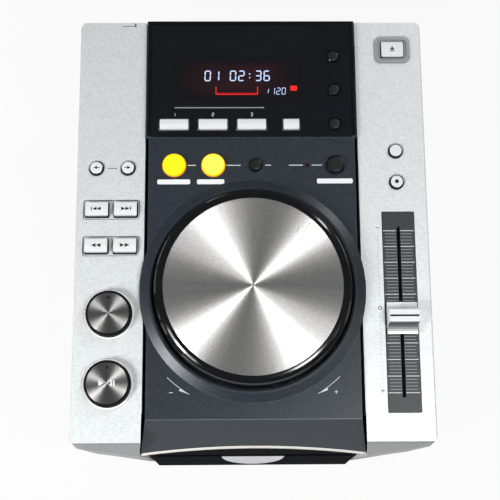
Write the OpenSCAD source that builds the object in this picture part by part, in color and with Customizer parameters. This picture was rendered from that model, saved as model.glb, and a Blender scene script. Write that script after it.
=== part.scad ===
// Tabletop disc player with a jog dial, a tempo slider and a front disc slot.
// Millimetres. +X is to the user's right, +Y to the rear, +Z up, and z = 0 is the table.
// The control deck slopes down to the front. Places on it are given as u (across),
// v (up the slope, zero at the deck's middle) and w (square to the deck, zero at the wings' top).

/* [Housing] */
// Overall width
body_w = 218; // [214:1:226]
// Overall depth, from the nose lip to the rear wall
body_d = 270; // [266:1:278]
// Overall height, at the rear edge of the display frame
body_h = 105.5; // [103:0.5:112]
// Slope of the control deck in degrees
deck_tilt = 6; // [5.5:0.1:6.5]
// Wall thickness of the moulded covers
wall = 2.5; // [2:0.1:3]
// Height of the rubber feet
foot_h = 6; // [5:0.5:8]
// Radius of a rubber foot
foot_r = 9; // [7:0.5:10]
// Radius of the housing's upright corners
corner_r = 4; // [2:0.5:6]
// How far the nose lip stands out in front of the wings' top edge
nose_reach = 3.5; // [3:0.1:4]
// Height of the wings' lower edge above the table
skirt_z = 9; // [8.5:0.1:10]
// Width of the groove between the deck and the wings
groove_w = 2.3; // [1.8:0.1:2.8]

/* [Centre panel] */
// Width of the dark deck
deck_w = 128.8; // [127:0.2:130]
// Width of the raised display frame
head_w = 132.4; // [131:0.2:133]
// Length of the raised display frame up the slope
head_len = 78.4; // [76:0.2:80]
// Height of the display frame above the wings
head_rise = 3; // [2.6:0.1:3.4]
// Height of the dark deck above the wings
deck_rise = 2.5; // [2.2:0.1:2.8]
// Distance from the wings' front edge to the crease above the nose
crease_in = 14; // [13:0.5:15]
// Slope of the nose face below the horizontal, in degrees
nose_slope = 60; // [58:1:62]
// Height of the nose lip above the table at its two ends
lip_end_z = 50; // [49:0.5:51]
// Extra height of the nose lip at the middle of its arch
lip_arch = 6; // [4:0.5:7]
// Border between the display window and the frame's sides
frame_side = 2.8; // [2.4:0.1:3.2]

/* [Jog dial] */
// Radius of the dial
jog_r = 60; // [58:0.5:60.5]
// Radius of the brushed metal plate
jog_plate_r = 54.1; // [50:0.1:54.5]
// Height of the metal plate above the wings
jog_top = 14.6; // [13:0.1:16]
// Distance from the wings' front edge to the dial's axis
jog_in = 92.65; // [92:0.05:94]
// Outer radius of the raised ring round the dial
surround_r = 68.9; // [68:0.1:69.5]
// Running gap between the dial and its well
jog_gap = 1.5; // [1:0.1:2]
// Radius of the dial's spindle
spindle_r = 3; // [2.5:0.1:4]
// Number of slots in the dial's sensor skirt
encoder_slots = 36; // [24:6:48]

/* [Tempo slider] */
// Full travel of the slider
tempo_travel = 100; // [80:1:100]
// Length of the slider's inlay plate
tempo_plate_l = 124; // [122:1:126]
// Width of the slider's inlay plate
tempo_plate_w = 20.3; // [19:0.1:21]
// Width of the slot that the lever runs in
tempo_slot_w = 2.2; // [1.8:0.1:2.6]
// Where the knob stands, from the middle of its travel
tempo_rest = -5.3; // [-10:0.1:10]

/* [Buttons] */
// Travel of a button
press = 0.8; // [0.5:0.1:1]
// Gap round a button in its hole
button_gap = 0.25; // [0.2:0.05:0.35]
// Radius of the two large transport buttons
transport_r = 13.9; // [13:0.1:14]
// Radius of the metal plate on a large transport button
transport_plate_r = 12.4; // [11.5:0.1:12.6]
// Radius of the two lit loop buttons
loop_lit_r = 7.3; // [6.5:0.1:7.5]
// Radius of the small black buttons
mode_r = 3.9; // [3.5:0.1:4.2]
// Radius of the small silver buttons
silver_r = 4.4; // [4:0.1:4.7]
// Width of a search button
search_w = 14; // [13:0.1:14.5]
// Length of a search button up the slope
search_l = 9; // [8.5:0.1:9.5]

/* [Disc drive] */
// Height of the middle of the disc slot above the table
slot_z = 33; // [32.5:0.1:33.5]
// Height of the disc slot
slot_h = 5; // [4.8:0.1:5.4]
// Width of the disc slot
slot_w = 124; // [123:0.5:125]
// Distance from the housing's front edge back to the disc's axis
disc_back = 79; // [78:0.5:80]
// Radius of the polished finger scoop under the slot
scoop_r = 19.5; // [16:0.5:20]
// Radius of the turntable
turntable_r = 15; // [14:0.5:15.5]
// Travel of the pickup sled
sled_travel = 34; // [30:1:34]
// Angle that the clamp arm drops through
clamp_drop = 7.5; // [7:0.1:8]

/* [Hidden] */
$fn = 64;

silver = [0.78, 0.79, 0.80];
dark_grey = [0.21, 0.23, 0.26];
gloss_black = [0.03, 0.03, 0.04];
satin_black = [0.07, 0.07, 0.08];
steel = [0.66, 0.67, 0.68];
brushed = [0.74, 0.74, 0.75];
board_green = [0.10, 0.30, 0.16];
lit_yellow = [1.0, 0.85, 0.05];
button_white = [0.90, 0.91, 0.92];

big = 600;               // longer than the housing, for cutting tools
over = 1;                // how far a cutting tool runs past what it cuts
slide_gap = 0.3;         // gap beside a part that slides
shaft_gap = 0.06;        // radial gap round a shaft in its bore

// The deck's plane
deck_len = (body_d - nose_reach) / cos(deck_tilt);
deck_y = body_d / 2 - deck_len / 2 * cos(deck_tilt);
head_rear_in = 0.3;      // the display frame ends this far before the rear edge
deck_z = body_h - (deck_len / 2 - head_rear_in) * sin(deck_tilt) - head_rise * cos(deck_tilt);
front_v = -deck_len / 2;
rear_v = deck_len / 2;
front_y = -body_d / 2 + nose_reach;
front_z = deck_z + front_v * sin(deck_tilt);
rear_y = body_d / 2;
head_v = rear_v - head_rear_in - head_len;

// Front facets of the wings. The crease runs from the top outer corner down to the nose lip.
crease_inner = [70, lip_end_z];          // inner end of the crease: x, z
crease_outer_drop = 4;                   // the crease starts this far under the top edge
facet_lean = nose_reach / (front_z - lip_end_z);
skirt_mid = [88.8, 3.3];                 // a point of the wings' lower edge: x, y behind the top edge
side_crease_front = 4;                   // the side crease starts this far under the deck at the front
side_crease_rear_z = 45;                 // and falls to this height at the rear
side_undercut = 0.146;                   // how fast the sides draw in below the crease
edge_chamfer = 0.8;                      // bevel along the wings' top edges

// Centre bay between the wings
bay_half = deck_w / 2 + groove_w;
surround_clear = 0.3;
// The nose plate stands this far inside the deck plate's edges
nose_step = 0.03;
bay_foot_half = 61;                      // half width of the bay at the skirt
bay_lip_half = 69.6;                     // half width of the bay at the lip's ends

// Base pan
pan_t = 1.6;
pan_z = foot_h;
pan_top = pan_z + pan_t;
pan_edge_in = 0.6;                       // the pan's edge lies this far inside the wings' lower edge
pan_wall_in = wall + 1.2;                // and its upright wall this far inside that
pan_wall_h = 7;

// Screw pillars under the wings: x, y
pillar_r = 3.5;
pillar_x = body_w / 2 - 33;
pillar_spots = [for (s = [-1, 1])
    each [[s * (pillar_x - 1), 15 - body_d / 2], [s * pillar_x, -28], [s * pillar_x, body_d / 2 - 23]]];
screw_r = 1.5;
screw_head_r = 2.9;
screw_head_h = 1.3;
screw_len = 11;
foot_x = body_w / 2 - 31;
foot_spots = [for (s = [-1, 1]) each [[s * foot_x, 37 - body_d / 2], [s * foot_x, body_d / 2 - 39]]];

// Boards below the deck
board_t = 1.6;
board_w = -9;                            // top face of the key boards, square to the deck
switch_h = 1.5;
switch_side = 5;
stem_end = board_w + switch_h + press + 0.1;
stem_r = 1.6;
flange_t = 1;
flange_gap = 0.3;

// Places of the controls on the deck: u, v
wing_u = body_w / 2 - 21.9;              // middle of the left wing's controls
right_u = body_w / 2 - 18.7;             // middle of the right wing's controls
cue_uv = [-wing_u, front_v + 77.8];
play_uv = [-wing_u, front_v + 35.6];
search_pair_u = 17.7;                    // between the buttons of a search pair
search_v = front_v + 120.3;
track_v = front_v + 143.4;
folder_v = rear_v - 97.8;
folder_half = 9.8;
eject_uv = [right_u + 0.2, rear_v - 19];
range_uv = [right_u, rear_v - 87];
master_uv = [right_u, rear_v - 107.3];
loop_v = rear_v - 96.8;
loop_in_uv = [16 - deck_w / 2, loop_v];
loop_out_uv = [-24.1, loop_v];
reloop_uv = [2.2, loop_v];
loop_lamp_uv = [34.6, loop_v];
beat_uv = [deck_w / 2 - 12.4, loop_v];
bar_v = rear_v - 69.9;
bar_size = [17.8, 6.7];
hold_size = [9.8, 6.7];
eject_size = [14, 10.6];
bar_pitch = 24.4;
bar_spots = [for (i = [0 : 2]) 17.5 - head_w / 2 + i * bar_pitch];
hold_uv = [25, bar_v];
mode_u = head_w / 2 - 13.8;
mode_v = [rear_v - 24.2, rear_v - 46.9, bar_v + 0.2];
reloop_r = 4.3;
beat_r = 6.1;
lamp_r = 1.6;

// Display
window_t = 2;
frame_under = -1.5;                      // underside of the display frame
window_len = 76.4;
window_v = head_v + 0.2 + window_len / 2;
window_half = head_w / 2 - frame_side;
window_top = deck_rise;
window_under = window_top - window_t;
tube_size = [84, 32, 6];
tube_uv = [-7.3, rear_v - 39.4];

// Jog dial
jog_v = front_v + jog_in;
well_r = jog_r + jog_gap;
well_floor = -8;
well_floor_t = 2;
well_hole_r = 12;
surround_top = 5.2;
plate_t = 0.8;
dial_skirt = -2;
dial_shell = 2.5;
bearing_r = 8;
bearing_top = -3;
bearing_end = -22;
bearing_flange_r = 18;

// Tempo slider
tempo_v = front_v + 79.6;
tempo_sink = 0.8;                        // the inlay lies this far under the wing's top
tempo_plate_t = 1.2;
tempo_frame_t = 2;
lever_w = 1.2;
lever_l = 5;
tempo_slot_l = tempo_travel + lever_l + 0.8;
fader_size = [9.2, tempo_slot_l + 8, 8];
fader_top = -wall - tempo_frame_t;
fader_skin = 1;
knob_v = tempo_v + tempo_rest;
knob_base = [18.2, 19.4];
knob_low = 0.6;
knob_top = 12.5;

// Rear jack panel
panel_half = 91.7;
panel_low = skirt_z + 0.3;
panel_high = 70;
panel_depth = 9.5;
panel_t = 1.2;
panel_face = rear_y - 0.5 - panel_depth;  // rear face of the panel's back wall
jack_z = 30;
jack_r = 4.15;
jack_reach = 8.7;
jack_hole_r = 1.65;
collar_t = 1.2;
jack_xs = [14, 36, 50];                   // digital out, line out right, line out left
control_x = 65;
control_r = 1.8;
inlet_x = -40;
power_x = -74;
power_z = 30;
power_size = [12, 8];

// Disc drive
disc_y = disc_back - body_d / 2;
slot_low = slot_z - slot_h / 2;
slot_high = slot_z + slot_h / 2;
table_z = slot_low - 2.1;                // top of the turntable, under the disc's path
cone_h = 1.7;
disc_t = 1.2;
motor_r = 12.2;
motor_h = 12.3;
frame_z = pan_top + 14.4;                // underside of the drive chassis
frame_t = 1.5;
frame_half = 68;
frame_front = 8 - body_d / 2;
frame_rear = disc_y + 78;
frame_side_t = 1.5;
damper_spots = [for (s = [-1, 1]) each [[s * 60, disc_y - 28], [s * 60, disc_y + 70]]];
damper_r = 6;
damper_h = 9;
arm_pivot = [disc_y + 74, 41];           // y, z
arm_z = 36.2;
arm_t = 1.5;
pin_r = 1.5;
clamper_low = table_z + disc_t + 0.1;
clamper_r = turntable_r;
roller_y = 14 - body_d / 2;
roller_pivot = [roller_y + 27, 26];
roller_z = 25.8;
roller_r = 4;
roller_half = 54;
rod_z = 15.5;
rod_x = [-20, 16];
screw_x = 27;
sled_front = disc_y + turntable_r + 0.6;
sled_len = 23;
rod_front = sled_front - 2.5;
rod_rear = sled_front + sled_len + sled_travel + 3;

// Front bezel
bezel_foot_y = front_y - 2.8;            // its face at the pan
bezel_head_y = front_y + 1.5;            // its face at the top, under the lip
bezel_top_z = lip_end_z + 5;
bezel_low_z = pan_z + 2;
bezel_lean = atan((bezel_head_y - bezel_foot_y) / (bezel_top_z - bezel_low_z));
bezel_t = 3;
scoop_sag = 3;
scoop_sphere_r = (scoop_r * scoop_r + scoop_sag * scoop_sag) / (2 * scoop_sag);

function bezel_y(z) = bezel_foot_y + (z - bezel_low_z) * tan(bezel_lean);

// ---------- Tools ----------

// Places children on the sloping deck
module on_deck(u = 0, v = 0, w = 0)
    translate([0, deck_y, deck_z]) rotate([deck_tilt, 0, 0]) translate([u, v, w]) children();

// Everything behind the plane through p whose outward normal is n, moved in by inset
module behind(p, n, inset = 0)
    translate(p) rotate([0, acos(n.z / norm(n)), atan2(n.y, n.x)])
        translate([0, 0, -big / 2 - inset]) cube(big, center = true);

module rounded_rect(size, r)
    union() {
        square([size.x - 2 * r, size.y], center = true);
        square([size.x, size.y - 2 * r], center = true);
        for (x = [-1, 1], y = [-1, 1])
            translate([x * (size.x / 2 - r), y * (size.y / 2 - r)]) circle(r);
    }

module rounded_block(size, r, low, high)
    translate([0, 0, low]) linear_extrude(high - low) rounded_rect(size, r);

module tube(r, hole, low, high)
    difference() {
        translate([0, 0, low]) cylinder(r = r, h = high - low);
        translate([0, 0, low - over]) cylinder(r = hole, h = high - low + 2 * over);
    }

module rod_x_axis(r, x0, x1, y, z)
    translate([x0, y, z]) rotate([0, 90, 0]) cylinder(r = r, h = x1 - x0);

module rod_y_axis(r, y0, y1, x, z)
    translate([x, y0, z]) rotate([-90, 0, 0]) cylinder(r = r, h = y1 - y0);

module block(x0, x1, y0, y1, z0, z1)
    translate([x0, y0, z0]) cube([x1 - x0, y1 - y0, z1 - z0]);

// ---------- Housing ----------

// The wings' outer form, drawn in by inset on every side and open downwards to low
module case_form(inset, low) {
    deck_n = [0, -sin(deck_tilt), cos(deck_tilt)];
    facet_p = [crease_inner.x, front_y - nose_reach, crease_inner.y];
    outer_p = [body_w / 2, front_y - crease_outer_drop * facet_lean, front_z - crease_outer_drop];
    skirt_p = [skirt_mid.x, front_y + skirt_mid.y, skirt_z];
    facet_n = cross(outer_p - facet_p, skirt_p - facet_p);
    facet_out = facet_n * (facet_n.y < 0 ? 1 : -1);
    side_p = [body_w / 2, front_y, front_z - side_crease_front];
    side_fall = (side_p.z - side_crease_rear_z) / (rear_y - front_y);
    intersection() {
        translate([0, 0, low]) linear_extrude(body_h + over - low) union() {
            translate([0, (rear_y + front_y) / 2])
                rounded_rect([body_w - 2 * inset, rear_y - front_y - 2 * inset], corner_r);
            translate([0, front_y])
                square([body_w - 4 * corner_r, 6 * corner_r], center = true);
        }
        behind([0, deck_y, deck_z], deck_n, inset);
        behind([0, front_y, front_z], [0, -1, facet_lean], inset);
        for_both_sides(facet_p, facet_out, inset);
        for_both_sides(side_p, [1, -side_undercut * side_fall, -side_undercut], inset);
        for_both_sides([body_w / 2, deck_y, deck_z], [1, deck_n.y, deck_n.z],
            inset + edge_chamfer / sqrt(2));
        behind([0, front_y, front_z], [0, -1 + deck_n.y, deck_n.z], inset + edge_chamfer / sqrt(2));
    }
}

// What lies behind a plane on the right and behind its mirror on the left
module for_both_sides(p, n, inset)
    intersection() {
        behind(p, n, inset);
        mirror([1, 0, 0]) behind(p, n, inset);
    }

// The opening between the wings
module centre_bay() {
    wall_lean = 20 * sin(deck_tilt);
    on_deck() translate([-bay_half, front_v - 10, -20])
        cube([2 * bay_half, deck_len + 10 - wall - wall_lean - 0.5, 40]);
    on_deck() translate([-bay_half, front_v - 10, frame_under - 0.1])
        cube([2 * bay_half, deck_len + 20, 40]);
    on_deck(0, jog_v) translate([0, 0, -20]) cylinder(r = surround_r + surround_clear, h = 40, $fn = 128);
    translate([0, front_y + 18, 0]) rotate([90, 0, 0]) linear_extrude(30)
        polygon([[-bay_foot_half, -over], [bay_foot_half, -over], [bay_foot_half, skirt_z],
            [bay_lip_half, lip_end_z], [bay_half, front_z + 4], [-bay_half, front_z + 4],
            [-bay_lip_half, lip_end_z], [-bay_foot_half, skirt_z]]);
}

// Turned-down edges of the wings along the centre bay
module bay_flanges()
    for (s = [-1, 1])
        on_deck() translate([s * (bay_half + wall / 2) - wall / 2, front_v + 8, -10])
            cube([wall, deck_len - 8 - wall, 10 - edge_chamfer]);

module search_pocket(v)
    on_deck(-wing_u, v) rounded_block([34.8, 12.5], 1.6, -0.7, over);

module pair_holes(v)
    for (s = [-1, 1])
        on_deck(-wing_u + s * search_pair_u / 2, v)
            rounded_block([search_w + 2 * button_gap, search_l + 2 * button_gap], 0.8, -wall - over, over);

module round_hole(uv, r)
    on_deck(uv.x, uv.y) translate([0, 0, -20]) cylinder(r = r + button_gap, h = 30);

module cover_holes() {
    for (v = [search_v, track_v]) {
        search_pocket(v);
        pair_holes(v);
    }
    for (s = [-1, 1])
        round_hole([-wing_u + s * folder_half, folder_v], silver_r);
    round_hole(range_uv, silver_r);
    round_hole(master_uv, silver_r);
    for (uv = [cue_uv, play_uv])
        round_hole(uv, lamp_ring_r());
    on_deck(eject_uv.x, eject_uv.y) rounded_block([20, 15], 3.5, -20, over);
    on_deck(right_u, tempo_v)
        rounded_block([tempo_plate_w + 0.2, tempo_plate_l + 0.2], 0.8, -tempo_sink - tempo_plate_t, over);
    on_deck(right_u, tempo_v) rounded_block([tempo_plate_w - 4, tempo_plate_l - 6], 0.8, -20, over);
}

function lamp_ring_r() = transport_r + button_gap + 1.15;

// Countersunk dishes round the small silver buttons
module cover_dishes() {
    spots = [[-wing_u - folder_half, folder_v], [-wing_u + folder_half, folder_v], range_uv, master_uv];
    for (uv = spots)
        on_deck(uv.x, uv.y, -0.5) cylinder(r1 = silver_r + button_gap, r2 = silver_r + 1.4, h = 0.9);
}

module cover_pillars()
    intersection() {
        for (p = pillar_spots)
            translate([p.x, p.y, pan_top]) cylinder(r = pillar_r, h = body_h);
        behind([0, deck_y, deck_z], [0, -sin(deck_tilt), cos(deck_tilt)], wall / 2);
    }

// Posts that carry the key boards under the wings
post_out = 15.9;                         // from the middle of the left wing's controls to its outer posts
right_posts = [-6.3, 11.2];              // from the middle of the right wing's controls
board_posts_cover = concat(
    [for (v = [cue_uv.y + 17.7, search_v - 10.5, folder_v + 7.8]) [-wing_u - post_out, v]],
    [[-wing_u + 15.1, (cue_uv.y + play_uv.y) / 2 + 0.8], [-wing_u, (track_v + folder_v) / 2]],
    [for (u = right_posts) [right_u + u, master_uv.y - 9.7]],
    [[right_u + right_posts[0], rear_v - 13.5], [right_u + right_posts[1], rear_v - 64]]);

module top_cover() {
    color(silver) difference() {
        union() {
            difference() {
                case_form(0, skirt_z);
                case_form(wall, skirt_z - over);
            }
            intersection() {
                case_form(wall / 2, skirt_z);
                union() {
                    bay_flanges();
                    on_deck(right_u, tempo_v, -wall - tempo_frame_t)
                        rounded_block([tempo_plate_w + 3, tempo_plate_l + 3], 1, 0, tempo_frame_t + over);
                    for (p = board_posts_cover)
                        on_deck(p.x, p.y, board_w) cylinder(r = 1.6, h = -board_w - over);
                }
            }
            cover_pillars();
        }
        centre_bay();
        cover_holes();
        cover_dishes();
        block(-panel_half - 0.3, panel_half + 0.3, panel_face - 4, rear_y + over, 0, panel_high + 0.3);
        for (p = pillar_spots)
            translate([p.x, p.y, 0]) cylinder(r = screw_r - 0.2, h = pan_z + screw_len + 2);
    }
}

// Plan of the pan: it follows the wings' lower edge and comes forward under the nose
module pan_outline(inset) {
    front_half = body_w / 2 - side_undercut * (front_z - side_crease_front - skirt_z) - pan_edge_in;
    rear_half = body_w / 2 - side_undercut * (side_crease_rear_z - skirt_z) - pan_edge_in;
    front = front_y + skirt_mid.y + 2;
    nose_half = bay_foot_half - 2;
    polygon([[-rear_half + inset, rear_y - pan_edge_in - inset],
        [rear_half - inset, rear_y - pan_edge_in - inset],
        [front_half - inset, front + inset], [nose_half + 6 - inset, bezel_foot_y + 3 + inset],
        [-nose_half - 6 + inset, bezel_foot_y + 3 + inset], [-front_half + inset, front + inset]]);
}

module base_pan() {
    vent_rows = 7;
    color(satin_black) difference() {
        union() {
            translate([0, 0, pan_z]) linear_extrude(pan_t) pan_outline(0);
            difference() {
                translate([0, 0, pan_z]) linear_extrude(pan_wall_h) pan_outline(pan_wall_in);
                translate([0, 0, pan_z - over]) linear_extrude(pan_wall_h + 2 * over)
                    pan_outline(pan_wall_in + pan_t);
                block(-panel_half - 1, panel_half + 1, panel_face - 5, rear_y, pan_top, big);
                block(-72, 72, -body_d / 2, bezel_foot_y + 12, pan_top, big);
            }
            for (p = damper_spots)
                translate([p.x, p.y, pan_z]) cylinder(r = 5, h = frame_z - damper_h - pan_z);
            for (p = board_posts)
                translate([p.x, p.y, pan_z]) cylinder(r = 3, h = main_board_z - pan_z);
            block(-46, -28, disc_y - 2, disc_y + 16, pan_z, pan_top + 1.2);
        }
        for (p = pillar_spots)
            translate([p.x, p.y, pan_z - over]) cylinder(r = screw_r + 0.2, h = pan_t + 2 * over);
        for (i = [0 : vent_rows - 1], s = [-1, 1])
            translate([s * 48, 40 + i * 10, pan_z + pan_t / 2])
                cube([36, 3, pan_t + 2 * over], center = true);
    }
}

module rubber_feet()
    color([0.05, 0.05, 0.05]) for (p = foot_spots)
        translate([p.x, p.y, 0]) difference() {
            union() {
                cylinder(r1 = foot_r - 0.8, r2 = foot_r, h = 1.2);
                translate([0, 0, 1.2]) cylinder(r = foot_r, h = foot_h - 1.2);
            }
            translate([0, 0, -over]) cylinder(r = foot_r * 0.45, h = over + 1);
        }

module case_screws()
    color(steel) for (p = pillar_spots)
        translate([p.x, p.y, pan_z]) difference() {
            union() {
                translate([0, 0, -screw_head_h])
                    cylinder(r1 = screw_head_r - 0.6, r2 = screw_head_r, h = screw_head_h);
                cylinder(r = screw_r - 0.25, h = screw_len);
            }
            for (a = [0, 90])
                rotate([0, 0, a]) translate([0, 0, -screw_head_h]) cube([3, 0.7, 1.2], center = true);
        }

// ---------- Centre panel ----------

module surround_profile()
    polygon([[well_hole_r, well_floor - well_floor_t], [well_r + 2, well_floor - well_floor_t],
        [well_r + 2, frame_under], [surround_r, frame_under], [surround_r, deck_rise + 0.2],
        [well_r + 2.2, surround_top], [well_r + 1, surround_top], [well_r, surround_top - 0.8],
        [well_r, well_floor], [well_hole_r, well_floor]]);

// The sloping nose plate with its arched lip
module nose() {
    face_len = (front_z + crease_in * sin(deck_tilt) + deck_rise - lip_end_z) / sin(nose_slope);
    arch_r = (bay_lip_half * bay_lip_half + lip_arch * lip_arch) / (2 * lip_arch);
    half_top = deck_w / 2 - nose_step;
    half_low = bay_lip_half - 0.6;
    difference() {
        on_deck(0, front_v + crease_in, deck_rise) rotate([nose_slope - deck_tilt, 0, 0])
            translate([0, 0, -3]) linear_extrude(3)
                polygon([[-half_top, 1.5], [half_top, 1.5], [half_top, 0], [half_low, -face_len - 2],
                    [-half_low, -face_len - 2], [-half_top, 0]]);
        translate([0, front_y + 40, lip_end_z + lip_arch - arch_r]) rotate([90, 0, 0])
            cylinder(r = arch_r, h = 80, $fn = 256);
        on_deck(0, 0, deck_rise - nose_step) translate([-big / 2, front_v, 0]) cube([big, big, big]);
    }
}

module centre_panel() {
    deck_front = front_v + crease_in;
    color(dark_grey) difference() {
        union() {
            difference() {
                union() {
                    on_deck() translate([-deck_w / 2, deck_front, 0])
                        cube([deck_w, head_v - deck_front + over, deck_rise]);
                    for (s = [-1, 1])
                        on_deck() translate([s * (deck_w / 2 - 1) - 1, deck_front + 6, -8])
                            cube([2, head_v - deck_front - 5, 8 + over]);
                    nose();
                }
                on_deck(0, jog_v) translate([0, 0, -40]) cylinder(r = well_r + 1, h = 80, $fn = 128);
            }
            on_deck() translate([-head_w / 2, head_v, frame_under])
                cube([head_w, head_len, head_rise - frame_under]);
            on_deck(0, jog_v) rotate_extrude($fn = 128) surround_profile();
            for (p = centre_posts)
                on_deck(p.x, p.y, board_w) cylinder(r = 1.3, h = -board_w + over / 2);
        }
        on_deck(0, window_v) translate([-window_half, -window_len / 2, window_under])
            cube([2 * window_half, window_len, 10]);
        on_deck(0, window_v) translate([-window_half + 3, -window_len / 2 + 3, -5])
            cube([2 * window_half - 6, window_len - 6, 10]);
        round_hole(loop_in_uv, loop_lit_r);
        round_hole(loop_out_uv, loop_lit_r);
        round_hole(reloop_uv, reloop_r);
        round_hole(beat_uv, beat_r);
        round_hole(loop_lamp_uv, lamp_r - button_gap + 0.05);
        for (s = [-1, 1])
            on_deck() behind_edge_bevel(s);
    }
}

// Posts that carry the key board under the deck and the display frame
centre_posts = [for (s = [-1, 1])
    each [[s * (deck_w / 2 - 4.9), loop_v - 10.2], [s * (head_w / 2 - 4.2), rear_v - 8]]];

// Bevel along the display frame's outer edges
module behind_edge_bevel(s)
    translate([s * head_w / 2, head_v + head_len / 2, head_rise]) rotate([0, 45, 0])
        cube([1.1, head_len + 4, 1.1], center = true);

module display_window()
    color(gloss_black) difference() {
        on_deck(0, window_v) rounded_block([2 * window_half - 0.2, window_len - 0.2], 0.6, window_under,
            window_top);
        for (u = bar_spots)
            on_deck(u, bar_v) rounded_block(bar_size + [1.6, 1.6], 0.6, -over, 10);
        on_deck(hold_uv.x, hold_uv.y) rounded_block(hold_size + [1.6, 1.6], 0.6, -over, 10);
        for (v = mode_v)
            round_hole([mode_u, v], mode_r + 0.3);
    }

// ---------- Front bezel ----------

// Places children on the bezel's leaning face: x across, y up the face, z out to the front
module on_bezel(z)
    translate([0, bezel_y(z), z]) rotate([90 - bezel_lean, 0, 0]) children();

module bezel_profile(front_shift, back_shift)
    polygon([[bezel_foot_y + front_shift, bezel_low_z], [bezel_head_y + front_shift, bezel_top_z],
        [bezel_head_y + back_shift, bezel_top_z], [bezel_foot_y + back_shift, bezel_low_z]]);

module front_bezel() {
    arch_r = (bay_lip_half * bay_lip_half + lip_arch * lip_arch) / (2 * lip_arch);
    color(gloss_black) difference() {
        intersection() {
            translate([-big / 2, 0, 0]) rotate([90, 0, 90]) linear_extrude(big)
                bezel_profile(0, bezel_t);
            translate([0, front_y + 20, 0]) rotate([90, 0, 0]) linear_extrude(40)
                polygon([[-bay_foot_half + 1, bezel_low_z], [bay_foot_half - 1, bezel_low_z],
                    [bay_lip_half - 2.5, lip_end_z - 1], [bay_lip_half - 4, bezel_top_z],
                    [-bay_lip_half + 4, bezel_top_z], [-bay_lip_half + 2.5, lip_end_z - 1]]);
            translate([0, front_y + 20, lip_end_z + lip_arch - arch_r - 0.4]) rotate([90, 0, 0])
                cylinder(r = arch_r, h = 40, $fn = 256);
            translate([0, bezel_foot_y + 20, 0]) rounded_block([2 * bay_lip_half - 2, 40], 6, 0, big);
        }
        translate([0, bezel_y(slot_z), slot_z]) cube([slot_w, 20, slot_h], center = true);
        on_bezel(slot_low) scoop_disc(scoop_r + 0.15);
    }
}

module scoop_disc(r)
    difference() {
        translate([0, 0, -10]) cylinder(r = r, h = 20);
        translate([-big / 2, 0, -big / 2]) cube([big, big, big]);
    }

// Half of a shallow polished dish below the slot
module finger_scoop()
    color(brushed) on_bezel(slot_low) difference() {
        intersection() {
            scoop_disc(scoop_r);
            translate([0, 0, scoop_sphere_r - scoop_sag]) sphere(r = scoop_sphere_r + 1.5, $fn = 128);
        }
        translate([0, 0, scoop_sphere_r - scoop_sag]) sphere(r = scoop_sphere_r, $fn = 128);
    }

// ---------- Rear jack panel ----------

module power_slot(gap)
    translate([power_x, rear_y, power_z]) rotate([90, 0, 0]) linear_extrude(40)
        rounded_rect([power_size.x + 2 * gap, power_size.y + 2 * gap], 1.5);

module jack_panel()
    color(satin_black) difference() {
        block(-panel_half, panel_half, panel_face - panel_t, rear_y - 0.5, panel_low, panel_high);
        block(-panel_half + panel_t, panel_half - panel_t, panel_face, rear_y + over,
            panel_low + panel_t, panel_high - panel_t);
        for (x = jack_xs)
            rod_y_axis(jack_r + 0.2, panel_face - 5, panel_face + 5, x, jack_z);
        rod_y_axis(control_r + 2.4, panel_face - 5, panel_face + 5, control_x, jack_z);
        block(inlet_x - 10.2, inlet_x + 10.2, panel_face - 5, panel_face + 5, jack_z - 6.2, jack_z + 6.2);
        power_slot(button_gap);
    }

// Coaxial jacks: a collar on the panel, an outer sleeve and an insulated centre hole
module rca_jacks()
    color(steel) for (x = jack_xs)
        difference() {
            union() {
                rod_y_axis(jack_r, panel_face + collar_t, panel_face + jack_reach, x, jack_z);
                rod_y_axis(jack_r + 1.2, panel_face + 0.05, panel_face + collar_t, x, jack_z);
                rod_y_axis(jack_r - 0.3, panel_face - panel_t - 0.5, panel_face + 0.1, x, jack_z);
                block(x - 5.5, x + 5.5, panel_face - panel_t - 10, panel_face - panel_t, jack_z - 6,
                    jack_z + 6);
            }
            rod_y_axis(jack_hole_r, panel_face - 2, panel_face + jack_reach + over, x, jack_z);
        }

module control_jack()
    color(satin_black) difference() {
        union() {
            rod_y_axis(control_r + 2.2, panel_face - panel_t, panel_face + 1.5, control_x, jack_z);
            block(control_x - 6, control_x + 6, panel_face - panel_t - 12, panel_face - panel_t,
                jack_z - 5, jack_z + 5);
        }
        rod_y_axis(control_r, panel_face - 12, panel_face + 2.5, control_x, jack_z);
    }

// Two-pole mains inlet with its figure-of-eight well
module mains_inlet()
    color(satin_black) union() {
        difference() {
            block(inlet_x - 10, inlet_x + 10, panel_face - 16, panel_face + 1, jack_z - 6, jack_z + 6);
            for (s = [-1, 1])
                rod_y_axis(3.4, panel_face - 12, panel_face + 2, inlet_x + s * 3.3, jack_z);
        }
        for (s = [-1, 1])
            rod_y_axis(1.2, panel_face - 13, panel_face - 2, inlet_x + s * 3.3, jack_z);
        block(inlet_x - 12, inlet_x + 12, panel_face - panel_t - 1.2, panel_face - panel_t, jack_z - 8,
            jack_z + 8);
    }

module power_button()
    color(satin_black) union() {
        translate([power_x, panel_face + 6, power_z]) rotate([90, 0, 0]) linear_extrude(10)
            rounded_rect(power_size, 1.3);
        translate([power_x, panel_face - panel_t - 0.3, power_z]) rotate([90, 0, 0]) linear_extrude(2)
            rounded_rect(power_size + [3, 3], 1.3);
    }

// ---------- Boards ----------

main_board_z = 15;
board_front = frame_rear + 6;
main_board = [-70, 8, board_front, panel_face - 9];      // x0, x1, y0, y1
supply_board = [14, 70, board_front, panel_face - 13];
main_mid_y = (main_board[2] + main_board[3]) / 2;
supply_mid_y = (supply_board[2] + supply_board[3]) / 2;
board_posts = [for (b = [main_board, supply_board]) each
    [[b[0] + 5, b[2] + 5], [b[1] - 5, b[2] + 5], [b[0] + 5, b[3] - 5], [b[1] - 5, b[3] - 5]]];

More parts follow.
